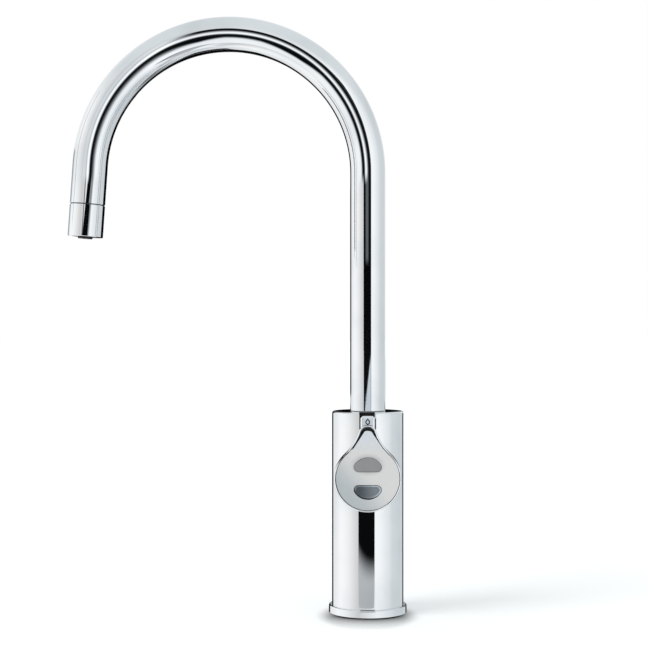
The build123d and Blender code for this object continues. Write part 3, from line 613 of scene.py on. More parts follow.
    def _flank(self, tree: Tree, place: Socket, side: float, widths: Pair) -> Socket:
        """Mark the painted shade along one flank's gap, which narrows down the flank.

        Args:
            tree: The material's tree.
            place: Object coordinates in metres.
            side: -1 for the left flank and 1 for the right.
            widths: Its width in mm at the top and at the bottom.

        Returns:
            1 on the edge and 0 off it.
        """
        x, z = self.flank_top_mm
        out_x, out_z = self.flank_outwards
        bottom = z - self.flank_length_mm
        inwards = add(tree, "ShaderNodeVectorMath", {
            0: place, 1: (-out_x * side, 0.0, -out_z),
        }, operation="DOT_PRODUCT")
        depth = add(tree, "ShaderNodeMath", {
            0: inwards.outputs["Value"], 1: (out_x * x + out_z * z) * MM,
        }, operation="ADD")
        axes = add(tree, "ShaderNodeSeparateXYZ", {"Vector": place})
        width = add(tree, "ShaderNodeMapRange", {
            "Value": axes.outputs["Z"], "From Min": z * MM, "From Max": bottom * MM,
            "To Min": widths[0] * MM, "To Max": widths[1] * MM,
        }, clamp=False)
        past = add(tree, "ShaderNodeMath", {
            0: width.outputs[0], 1: depth.outputs[0],
        }, operation="SUBTRACT")
        share = add(tree, "ShaderNodeMapRange", {
            "Value": past.outputs[0],
            "From Min": -self.flank_soft_mm * MM, "From Max": self.flank_soft_mm * MM,
        })
        ends = add(tree, "ShaderNodeMapRange", {
            "Value": axes.outputs["Z"],
            "From Min": bottom * MM, "From Max": (bottom + self.flank_fade_mm) * MM,
        })
        return add(tree, "ShaderNodeMath", {
            0: share.outputs[0], 1: ends.outputs[0],
        }, operation="MULTIPLY").outputs[0]


@dataclass(frozen=True)
class Moulded(Finish):
    """Moulded or painted plastic and rubber.

    The eye reads a fine pebble in its gloss, and clouds a little off its colour. The pebble is
    drawn at 0.2 to 0.6 mm, coarser than a real one, which wouldn't show.
    """

    light: str
    dark: str
    roughness: float
    pebble_mm: float = 0.3
    height_mm: float = 0.003
    spread: float = 0.15
    cloud_mm: float = 6.0

    def surface(self, tree: Tree, place: Socket) -> Node:
        """Build a pebbled, slightly clouded surface.

        Args:
            tree: The material's tree.
            place: Object coordinates in metres.

        Returns:
            The node whose first output is the surface.
        """
        pebble = add(tree, "ShaderNodeTexNoise", {
            "Vector": place, "Scale": 1 / (self.pebble_mm * MM), "Detail": 2.0,
        })
        cloud = add(tree, "ShaderNodeTexNoise", {
            "Vector": place, "Scale": 1 / (self.cloud_mm * MM), "Detail": 2.0,
        })
        colour = add(tree, "ShaderNodeMix", {
            "Factor": cloud.outputs["Fac"], "A": linear(self.dark), "B": linear(self.light),
        }, data_type="RGBA")
        rough = add(tree, "ShaderNodeMapRange", {
            "Value": pebble.outputs["Fac"],
            "To Min": self.roughness * (1 - self.spread),
            "To Max": self.roughness * (1 + self.spread),
        })
        bump = add(tree, "ShaderNodeBump", {
            "Height": pebble.outputs["Fac"], "Distance": self.height_mm * MM,
        })
        return add(tree, "ShaderNodeBsdfPrincipled", {
            "Base Color": colour.outputs["Result"], "Roughness": rough.outputs["Result"],
            "Normal": bump.outputs["Normal"],
        })


@dataclass(frozen=True)
class SlateLacquer(Finish):
    """Gloss slate lacquer over metal flake on the lower button, with painted reflections.

    The eye reads a blue-grey that lightens to the right, a painted reflection, a polished skin and a
    black line under the button, a painted dark reflection on its lower edge. Real flake is some
    0.03 mm across. It is drawn at 0.25 mm, because it wouldn't show.
    """

    name: str = "gloss_slate_lacquer"
    # The painted reflection runs from the first colour on the left to the second on the right.
    reflection_left_colour: str = "737C84"
    light: str = "B9C3CA"
    # The painted dark reflection on the lower edge: its colour, how it leans and where it lies.
    edge: str = "0A0B0C"
    dark_reflection_lean: float = 0.55
    dark_reflection_range: Pair = (-0.3, -0.5)
    flake_mm: float = 0.25
    flake_height_mm: float = 0.001
    # How far each way from the middle the painted reflection runs.
    reflection_reach_mm: float = 6.5
    metallic: float = 0.6
    roughness: Pair = (0.08, 0.14)
    coat: float = 0.5
    coat_roughness: float = 0.04

    def surface(self, tree: Tree, place: Socket) -> Node:
        """Build the lacquer, with its painted reflections: lighter to the right, dark on the lower
        edge.

        Args:
            tree: The material's tree.
            place: Object coordinates in metres.

        Returns:
            The node whose first output is the surface.
        """
        axes = add(tree, "ShaderNodeSeparateXYZ", {"Vector": place})
        flake = add(tree, "ShaderNodeTexNoise", {
            "Vector": place, "Scale": 1 / (self.flake_mm * MM), "Detail": 2.0,
        })
        run = add(tree, "ShaderNodeMapRange", {
            "Value": axes.outputs["X"],
            "From Min": -self.reflection_reach_mm * MM, "From Max": self.reflection_reach_mm * MM,
        }, interpolation_type="SMOOTHSTEP")
        body = add(tree, "ShaderNodeMix", {
            "Factor": run.outputs["Result"], "A": linear(self.reflection_left_colour), "B": linear(self.light),
        }, data_type="RGBA")
        way = add(tree, "ShaderNodeSeparateXYZ", {
            "Vector": add(tree, "ShaderNodeTexCoord").outputs["Normal"],
        })
        under = add(tree, "ShaderNodeMath", {
            0: way.outputs["X"], 1: self.dark_reflection_lean, 2: way.outputs["Z"],
        }, operation="MULTIPLY_ADD")
        lower_dark_reflection = add(tree, "ShaderNodeMapRange", {
            "Value": under.outputs[0],
            "From Min": self.dark_reflection_range[0], "From Max": self.dark_reflection_range[1],
        })
        colour = add(tree, "ShaderNodeMix", {
            "Factor": lower_dark_reflection.outputs["Result"], "A": body.outputs["Result"], "B": linear(self.edge),
        }, data_type="RGBA")
        rough = add(tree, "ShaderNodeMapRange", {
            "Value": flake.outputs["Fac"],
            "To Min": self.roughness[0], "To Max": self.roughness[1],
        })
        bump = add(tree, "ShaderNodeBump", {
            "Height": flake.outputs["Fac"], "Distance": self.flake_height_mm * MM,
        })
        return add(tree, "ShaderNodeBsdfPrincipled", {
            "Base Color": colour.outputs["Result"], "Metallic": self.metallic,
            "Roughness": rough.outputs["Result"], "Normal": bump.outputs["Normal"],
            "Coat Weight": self.coat, "Coat Roughness": self.coat_roughness,
        })


@dataclass(frozen=True)
class IndicatorLens(Finish):
    """Milky polycarbonate drop with a dark printed border, polished.

    The eye reads a small pale drop in a dark outline.
    """

    name: str = "milky_polycarbonate_lens"
    milk: str = "C6CDD0"
    border: str = "2E3134"
    roughness: float = 0.18
    ior: float = 1.58
    centre_mm: float = 121.1
    point_slope: float = 0.56
    inner_mm: float = 0.7
    outer_mm: float = 0.95

    def surface(self, tree: Tree, place: Socket) -> Node:
        """Build the lens: how far out a point lies is measured as the drop's outline runs.

        Args:
            tree: The material's tree.
            place: Object coordinates in metres.

        Returns:
            The node whose first output is the surface.
        """
        middle = add(tree, "ShaderNodeVectorMath", {
            0: place, 1: (0.0, 0.0, self.centre_mm * MM),
        }, operation="SUBTRACT")
        flat = add(tree, "ShaderNodeVectorMath", {
            0: middle.outputs[0], 1: (1.0, 0.0, 1.0),
        }, operation="MULTIPLY")
        far = add(tree, "ShaderNodeVectorMath", {0: flat.outputs[0]}, operation="LENGTH")
        axes = add(tree, "ShaderNodeSeparateXYZ", {"Vector": flat.outputs[0]})
        width = add(tree, "ShaderNodeMath", {0: axes.outputs["X"]}, operation="ABSOLUTE")
        upper = add(tree, "ShaderNodeMath", {
            0: axes.outputs["Z"], 1: self.point_slope, 2: width.outputs[0],
        }, operation="MULTIPLY_ADD")
        above = add(tree, "ShaderNodeMath", {
            0: axes.outputs["Z"], 1: 0.0,
        }, operation="GREATER_THAN")
        out = add(tree, "ShaderNodeMix", {
            "Factor": above.outputs[0], "A": far.outputs["Value"], "B": upper.outputs[0],
        }, data_type="FLOAT")
        share = add(tree, "ShaderNodeMapRange", {
            "Value": out.outputs["Result"],
            "From Min": self.inner_mm * MM, "From Max": self.outer_mm * MM,
        }, interpolation_type="SMOOTHSTEP")
        colour = add(tree, "ShaderNodeMix", {
            "Factor": share.outputs["Result"], "A": linear(self.milk), "B": linear(self.border),
        }, data_type="RGBA")
        return add(tree, "ShaderNodeBsdfPrincipled", {
            "Base Color": colour.outputs["Result"], "Roughness": self.roughness, "IOR": self.ior,
        })


CHROME = ChromePlate()
RECESSED_CHROME = RecessedChrome()
NOTCHED_CHROME = NotchedChrome()
SATIN_FACE = SatinFace()
SLATE_BUTTON = SlateLacquer()
CLEAR_LENS = IndicatorLens()
# Turned and left bare: warm yellow with fine tool marks, as on the fittings seen from below.
BRASS = Metal("turned_brass", "D8B46A", "B8924A", 0.28, 0.25, (1.0, 1.0, 6.0))
# Plated over a blasted skin: dark grey and half matt, so that the seam above the sleeve stays dark.
DULL_NICKEL = Metal("dull_nickel_plate", "6E7072", "55575A", 0.4, 0.5)
# Drawn tube, wire and screws: pale grey with lines along the draw.
STAINLESS = Metal("drawn_stainless_steel", "C9CACB", "A5A7A9", 0.26, 0.4, (4.0, 4.0, 0.5))
# Pressed sheet, zinc plated: a bluish grey with broad soft spangle.
BRACKET_STEEL = Metal("zinc_plated_bracket_steel", "B9BDC0", "8E9295", 0.38, 1.2)
# Turned acetal: an even waxy grey.
ACETAL = Moulded("grey_acetal_bush", "8C8E8F", "7C7E80", 0.38)
# Moulded nitrile: near black and matt, with a coarse pebble.
RUBBER = Moulded("black_nitrile_rubber", "1A1A1B", "101011", 0.62, 0.5, 0.01)
# Moulded nylon: black with a soft gloss, as on the outlet under the sleeve.
BLACK_PLASTIC = Moulded("black_moulded_plastic", "17181A", "0C0D0E", 0.3, 0.25)
# Moulded acetal: a clean warm white.
PLUNGER_WHITE = Moulded("white_acetal_plunger", "F0F0EC", "E2E2DC", 0.35)
# Painted ABS: an even mid grey with a satin gloss, darker than the lacquer round it.
GREY_BUTTON = Moulded("satin_grey_painted_button", "949393", "888787", 0.38, 0.2)
# Solder mask: a glossy leaf green.
CIRCUIT_BOARD = Moulded("green_solder_mask", "1F6A3C", "154D2B", 0.3, 0.6)
# Cast epoxy: a glossy warm white.
LED_WHITE = Moulded("white_epoxy_lamp", "F2F2EE", "E6E4DC", 0.2)
# Extruded PVC: black and half matt.
LEAD_JACKET = Moulded("black_lead_jacket", "1C1C1E", "121213", 0.45, 0.2)


class Paintbox:
    """Keeps one material for each finish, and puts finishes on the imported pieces."""

    def __init__(self) -> None:
        """Start with no materials made."""
        self._made: dict[Finish, Material] = {}

    def material(self, finish: Finish) -> Material:
        """Return a finish's material, made when it is first asked for.

        Args:
            finish: The finish.

        Returns:
            Its one material.
        """
        if finish not in self._made:
            self._made[finish] = finish.material()
        return self._made[finish]

    def dress(self, finish: Finish, *nodes: str) -> None:
        """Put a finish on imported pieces.

        Args:
            finish: The finish.
            *nodes: The names of the pieces.
        """
        for node in nodes:
            for material_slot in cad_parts[node].material_slots:
                material_slot.material = self.material(finish)
            log.info("%s is %s", node, finish.name)


class Grower:
    """A Geometry Nodes tree with named inputs, and its way into a plain mesh."""

    SHARP_FROM = math.radians(40)

    def __init__(self, name: str, sizes: Sequence[str], counts: Sequence[str],
                 from_curve: bool = False) -> None:
        """Make an empty tree.

        Args:
            name: The tree's name.
            sizes: The names of its inputs that are lengths or angles.
            counts: The names of its inputs that are whole numbers.
            from_curve: Whether it starts from the object's own curve.
        """
        self.tree = bpy.data.node_groups.new(name, "GeometryNodeTree")
        self.tree.interface.new_socket("Geometry", in_out="OUTPUT",
                                       socket_type="NodeSocketGeometry")
        kinds = [("Path", "NodeSocketGeometry")] if from_curve else []
        kinds += [(size, "NodeSocketFloat") for size in sizes]
        kinds += [(count, "NodeSocketInt") for count in counts]
        kinds.append(("Finish", "NodeSocketMaterial"))
        new_socket = self.tree.interface.new_socket
        self._identifiers = {
            label: new_socket(label, in_out="INPUT", socket_type=kind).identifier
            for label, kind in kinds
        }
        self.inputs = add(self.tree, "NodeGroupInput").outputs

    def end(self, geometry: Socket) -> None:
        """End the tree in Realize Instances and Set Material.

        Args:
            geometry: What the tree has made.
        """
        smooth = add(self.tree, "GeometryNodeSetShadeSmooth", {"Geometry": geometry})
        real = add(self.tree, "GeometryNodeRealizeInstances", {"Geometry": smooth.outputs[0]})
        finished = add(self.tree, "GeometryNodeSetMaterial", {
            "Geometry": real.outputs[0], "Material": self.inputs["Finish"],
        })
        add(self.tree, "NodeGroupOutput", {"Geometry": finished.outputs[0]})

    def grow(self, name: str, values: dict[str, object], start: bpy.types.ID | None = None,
             wall: float = 0.0) -> Object:
        """Run the tree once and keep its result as a plain mesh.

        Args:
            name: The new piece's name.
            values: A value for each of the tree's inputs.
            start: The mesh or curve that the tree starts from, or None for an empty mesh.
            wall: The thickness that the result is given inwards, or 0 for none.

        Returns:
            The new piece, with no modifier left on it.
        """
        label = f"{name}_source"
        source = bpy.data.objects.new(label, start or bpy.data.meshes.new(label))
        modifier = source.modifiers.new("grow", "NODES")
        modifier.node_group = self.tree
        for socket, value in values.items():
            modifier[self._identifiers[socket]] = value
        bpy.context.scene.collection.objects.link(source)
        mesh = evaluated_mesh(source)
        source.modifiers.remove(modifier)
        bpy.data.objects.remove(source)
        piece = bpy.data.objects.new(name, mesh)
        bpy.context.scene.collection.objects.link(piece)
        if wall:
            self._thicken(piece, wall)
        piece.data.set_sharp_from_angle(angle=self.SHARP_FROM)
        log.info("%s has %d faces", name, len(piece.data.polygons))
        return piece

    @staticmethod
    def _thicken(piece: Object, wall: float) -> None:
        """Give a piece a wall, inwards, and keep the result as its mesh.

        Args:
            piece: The piece, whose faces point outwards.
            wall: The wall's thickness.
        """
        solidify = piece.modifiers.new("wall", "SOLIDIFY")
        solidify.thickness = wall
        solidify.offset = -1.0
        mesh = evaluated_mesh(piece)
        piece.modifiers.remove(solidify)
        piece.data = mesh


class RoundSection(Grower):
    """Sweeps a round section along a curve, for wires and leads."""

    RADII_A_RING = 0.6

    def __init__(self) -> None:
        """Build the tree."""
        super().__init__("round_section", ("Radius", "Step"), ("Sides",), from_curve=True)
        even = add(self.tree, "GeometryNodeResampleCurve", {
            "Curve": self.inputs["Path"], "Length": self.inputs["Step"],
        }, mode="LENGTH")
        section = add(self.tree, "GeometryNodeCurvePrimitiveCircle", {
            "Resolution": self.inputs["Sides"], "Radius": self.inputs["Radius"],
        })
        self.end(add(self.tree, "GeometryNodeCurveToMesh", {
            "Curve": even.outputs[0], "Profile Curve": section.outputs[0], "Fill Caps": True,
        }).outputs[0])

    def along(self, name: str, points: Sequence[Point], radius: float, material: Material,
              smooth: bool, sides: int) -> Object:
        """Sweep along points.

        Args:
            name: The new piece's name.
            points: The route's points.
            radius: The section's radius.
            material: The piece's material.
            smooth: Whether the route is one smooth spline with the points as its control points.
            sides: The number of flats round the section.

        Returns:
            The new piece.
        """
        curve = bpy.data.curves.new(f"{name}_path", "CURVE")
        curve.dimensions = "3D"
        spline = curve.splines.new("NURBS" if smooth else "POLY")
        spline.points.add(len(points) - 1)
        for point, place in zip(spline.points, points):
            point.co = (*place, 1.0)
        if smooth:
            spline.order_u = 3
            spline.use_endpoint_u = True
        return self.grow(name, {
            "Radius": radius, "Step": radius * self.RADII_A_RING, "Sides": sides,
            "Finish": material,
        }, curve)


class Gooseneck(Grower):
    """A tube that goes straight up, round a bend and down a leaning leg, by one rule."""

    def __init__(self) -> None:
        """Build the tree: points of a straight line move to where their length along it says."""
        super().__init__("gooseneck",
                         ("Radius", "Foot", "Bend Height", "Bend Radius", "Turn", "Leg"),
                         ("Rings", "Sides"))
        tree, sizes = self.tree, self.inputs
        bend = sizes["Bend Radius"]
        rise = add(tree, "ShaderNodeMath", {
            0: sizes["Bend Height"], 1: sizes["Foot"],
        }, operation="SUBTRACT")
        sweep = add(tree, "ShaderNodeMath", {0: bend, 1: sizes["Turn"]}, operation="MULTIPLY")
        length = add(tree, "ShaderNodeMath", {
            0: rise.outputs[0], 1: sweep.outputs[0],
        }, operation="ADD")
        total = add(tree, "ShaderNodeMath", {
            0: length.outputs[0], 1: sizes["Leg"],
        }, operation="ADD")
        end = add(tree, "ShaderNodeCombineXYZ", {"Z": total.outputs[0]})
        line = add(tree, "GeometryNodeCurvePrimitiveLine", {"End": end.outputs[0]})
        even = add(tree, "GeometryNodeResampleCurve", {
            "Curve": line.outputs[0], "Count": sizes["Rings"],
        })
        run = add(tree, "GeometryNodeSplineParameter").outputs["Length"]
        up = add(tree, "ShaderNodeMath", {0: run, 1: rise.outputs[0]}, operation="MINIMUM")
        past = add(tree, "ShaderNodeMath", {0: run, 1: rise.outputs[0]}, operation="SUBTRACT")
        turned = add(tree, "ShaderNodeMath", {0: past.outputs[0], 1: bend}, operation="DIVIDE")
        angle = add(tree, "ShaderNodeClamp", {"Value": turned.outputs[0], "Max": sizes["Turn"]})
        left = add(tree, "ShaderNodeMath", {0: run, 1: length.outputs[0]}, operation="SUBTRACT")
        down = add(tree, "ShaderNodeMath", {0: left.outputs[0], 1: 0.0}, operation="MAXIMUM")
        sine = add(tree, "ShaderNodeMath", {0: angle.outputs[0]}, operation="SINE")
        cosine = add(tree, "ShaderNodeMath", {0: angle.outputs[0]}, operation="COSINE")
        reach = add(tree, "ShaderNodeMath", {0: cosine.outputs[0], 1: bend}, operation="MULTIPLY")
        across = add(tree, "ShaderNodeMath", {0: reach.outputs[0], 1: bend}, operation="SUBTRACT")
        leg_x = add(tree, "ShaderNodeMath", {
            0: down.outputs[0], 1: sine.outputs[0],
        }, operation="MULTIPLY")
        x = add(tree, "ShaderNodeMath", {
            0: across.outputs[0], 1: leg_x.outputs[0],
        }, operation="SUBTRACT")
        base = add(tree, "ShaderNodeMath", {0: up.outputs[0], 1: sizes["Foot"]}, operation="ADD")
        bend_z = add(tree, "ShaderNodeMath", {
            0: sine.outputs[0], 1: bend, 2: base.outputs[0],
        }, operation="MULTIPLY_ADD")
        z = add(tree, "ShaderNodeMath", {
            0: down.outputs[0], 1: cosine.outputs[0], 2: bend_z.outputs[0],
        }, operation="MULTIPLY_ADD")
        place = add(tree, "ShaderNodeCombineXYZ", {"X": x.outputs[0], "Z": z.outputs[0]})
        bent = add(tree, "GeometryNodeSetPosition", {
            "Geometry": even.outputs[0], "Position": place.outputs[0],
        })
        section = add(tree, "GeometryNodeCurvePrimitiveCircle", {
            "Resolution": sizes["Sides"], "Radius": sizes["Radius"],
        })
        self.end(add(tree, "GeometryNodeCurveToMesh", {
            "Curve": bent.outputs[0], "Profile Curve": section.outputs[0],
        }).outputs[0])


@dataclass
class Spout:
    """The gooseneck and everything that swivels with it."""

    paints: Paintbox
    tube_radius: float = 11.1 * MM
    tube_wall: float = 1.2 * MM
    bend_radius: float = 88.0 * MM
    bend_height: float = 276.2 * MM
    lean: float = math.radians(4.0)
    seam_height: float = 257.2 * MM
    rings: int = 300
    sides: int = 96

    def build(self) -> None:
        """Make the tube and dress what it carries."""
        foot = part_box("spout_tube")[0].z
        leg_top = self.bend_height + self.bend_radius * math.sin(self.lean)
        tube = Gooseneck().grow("gooseneck_tube", {
            "Radius": self.tube_radius,
            "Foot": foot,
            "Bend Height": self.bend_height,
            "Bend Radius": self.bend_radius,
            "Turn": math.pi - self.lean,
            "Leg": (leg_top - self.seam_height) / math.cos(self.lean),
            "Rings": self.rings,
            "Sides": self.sides,
            "Finish": self.paints.material(CHROME),
        }, wall=self.tube_wall)
        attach(tube, Body.SPOUT.value)
        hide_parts("spout_tube")
        self.paints.dress(CHROME, "nozzle_sleeve")
        self.paints.dress(BRASS, "spout_tail")
        self.paints.dress(DULL_NICKEL, "nozzle_nipple")
        self.paints.dress(STAINLESS, "inner_tube")
        self.paints.dress(RUBBER, "tail_orings", "outlet_oring")
        self.paints.dress(BLACK_PLASTIC, "outlet_insert")


@dataclass
class Column:
    """The round body with its ring, its base and what stands in it."""

    paints: Paintbox

    def build(self) -> None:
        """Dress the body's pieces."""
        self.paints.dress(NOTCHED_CHROME, "body_shell")
        self.paints.dress(CHROME, "base_ring", "access_plug")
        self.paints.dress(RUBBER, "deck_gasket", "port_gasket", "inner_tube_oring")
        self.paints.dress(BRASS, "base_block", "hot_inlet_fitting", "cold_inlet_fitting",
                          "swivel_housing", "port_block")
        self.paints.dress(STAINLESS, "hot_feed_tube", "cold_feed_tube", "port_screws",
                          "housing_screws", "stop_screw")
        self.paints.dress(ACETAL, "upper_bush", "lower_bush")
        self.paints.dress(BLACK_PLASTIC, "signal_socket")
        self.paints.dress(LEAD_JACKET, "signal_lead")


@dataclass
class Lever:
    """The teardrop lever, its buttons and what they work."""

    paints: Paintbox

    def build(self) -> None:
        """Dress the lever's pieces."""
        self.paints.dress(RECESSED_CHROME, "lever_shell")
        self.paints.dress(SATIN_FACE, "face_plate")
        self.paints.dress(GREY_BUTTON, "select_button")
        self.paints.dress(SLATE_BUTTON, "safety_button")
        self.paints.dress(CIRCUIT_BOARD, "switch_board")
        self.paints.dress(CLEAR_LENS, "indicator_lens")
        self.paints.dress(LED_WHITE, "indicator_led")
        self.paints.dress(BLACK_PLASTIC, "back_cover", "button_switches")
        self.paints.dress(STAINLESS, "cover_screws")
        self.paints.dress(RUBBER, "lever_bumper")


@dataclass
class Hinge:
    """The lever's hinge under the deck, with its spring, its switch and the lead across it."""

    paints: Paintbox
    pivot_y: float = -16.4 * MM
    pivot_z: float = 119.4 * MM
    spring_x: float = 1.6 * MM
    spring_radius: float = 1.75 * MM
    spring_wire: float = 0.3 * MM
    spring_turns: int = 3
    spring_pitch: float = 0.75 * MM
    turn_steps: int = 32
    front_leg: float = 3.4 * MM
    back_leg: float = 3.0 * MM
    wire_sides: int = 12
    lead_radius: float = 0.6 * MM
    lead_sides: int = 20
    lead_route: tuple[Point, ...] = (
        (2.6 * MM, -26.0 * MM, 113.9 * MM),
        (2.6 * MM, -19.5 * MM, 113.9 * MM),
        (2.6 * MM, -15.6 * MM, 113.9 * MM),
        (2.6 * MM, -15.6 * MM, 110.9 * MM),
    )
    section: RoundSection = field(default_factory=RoundSection)

    def build(self) -> None:
        """Make the spring and the lead, and dress the rest."""
        self._spring()
        self._lead()
        self.paints.dress(BRACKET_STEEL, "hinge_bracket")
        self.paints.dress(STAINLESS, "bracket_screws", "hinge_pin", "switch_pins")
        self.paints.dress(BLACK_PLASTIC, "dispense_switch")
        self.paints.dress(PLUNGER_WHITE, "switch_plunger")

    def _spring(self) -> None:
        """Wind the torsion spring, whose coil twists between the body and the lever."""
        step_angle = 2 * math.pi / self.turn_steps
        coil = [
            (
                self.spring_x + self.spring_pitch * step / self.turn_steps,
                self.pivot_y + self.spring_radius * math.sin(step * step_angle),
                self.pivot_z - self.spring_radius * math.cos(step * step_angle),
            )
            for step in range(self.spring_turns * self.turn_steps + 1)
        ]
        front = (coil[0][0], coil[0][1] - self.front_leg, coil[0][2])
        back = (coil[-1][0], coil[-1][1] + self.back_leg, coil[-1][2])
        wire = self.section.along("lever_spring_wire", [front, *coil, back], self.spring_wire,
                                  self.paints.material(STAINLESS), smooth=False,
                                  sides=self.wire_sides)
        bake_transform(wire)
        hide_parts("lever_spring")

    def _lead(self) -> None:
        """Lay the lead that crosses the hinge, in one fixed shape, though the real one bends with the
        lever.
        """
        lead = self.section.along("lever_lead_jacket", self.lead_route, self.lead_radius,
                                  self.paints.material(LEAD_JACKET), smooth=True,
                                  sides=self.lead_sides)
        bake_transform(lead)
        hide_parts("lever_lead")


@dataclass(frozen=True)
class Card:
    """A flat card in the studio, which only reflections see.

    The cards stand for what stood round the tap when it was lit: the dark opening of the light tent
    and what was in it.
    """

    name: str
    centre: Point
    size: Pair
    turn: Point = field(default=(90.0, 0.0, 0.0), kw_only=True)
    strength: float = field(default=1.0, kw_only=True)

    def build(self) -> None:
        """Make the card and keep it out of everything but reflections."""
        card = rectangle(self.name, self.size, self._material())
        card.location = self.centre
        card.rotation_euler = Euler([math.radians(angle) for angle in self.turn])
        for kind in ("camera", "diffuse", "shadow", "transmission", "volume_scatter"):
            setattr(card, f"visible_{kind}", False)

    def _material(self) -> Material:
        """Build a glow that lets light past where the card doesn't cover.

        Returns:
            The material.
        """
        made = bpy.data.materials.new(self.name)
        tree = blank_tree(made)
        colour, cover = self.shade(tree, add(tree, "ShaderNodeTexCoord").outputs["Object"])
        glow = add(tree, "ShaderNodeEmission", {"Color": colour, "Strength": self.strength})
        clear = add(tree, "ShaderNodeBsdfTransparent")
        mixed = add(tree, "ShaderNodeMixShader", {
            0: cover, 1: clear.outputs[0], 2: glow.outputs[0],
        })
        add(tree, "ShaderNodeOutputMaterial", {"Surface": mixed.outputs[0]})
        return made

    def shade(self, tree: Tree, place: Socket) -> tuple[Socket | Colour, Socket]:
        """Say what the card looks like at each place.

        Args:
            tree: The material's tree.
            place: The place on the card, in metres from its centre.

        Returns:
            Its colour, and how far it covers, from 0 to 1.
        """
        raise NotImplementedError


@dataclass(frozen=True)
class PlainCard(Card):
    """A card of one colour that fades out at its edges."""

    colour: str
    soft: float

    def shade(self, tree: Tree, place: Socket) -> tuple[Socket | Colour, Socket]:
        """Fade the card out at its edges.

        Args:
            tree: The material's tree.
            place: The place on the card, in metres from its centre.

        Returns:
            Its colour, and how far it covers, from 0 to 1.
        """
        axes = add(tree, "ShaderNodeSeparateXYZ", {"Vector": place})
        shares = []
        for axis, side in zip("XY", self.size):
            out = add(tree, "ShaderNodeMath", {0: axes.outputs[axis]}, operation="ABSOLUTE")
            shares.append(add(tree, "ShaderNodeMapRange", {
                "Value": out.outputs[0],
                "From Min": side / 2, "From Max": max(side / 2 - 2 * self.soft, 0.0),
            }, interpolation_type="SMOOTHSTEP").outputs[0])
        cover = add(tree, "ShaderNodeMath", {0: shares[0], 1: shares[1]}, operation="MULTIPLY")
        return linear(self.colour), cover.outputs[0]


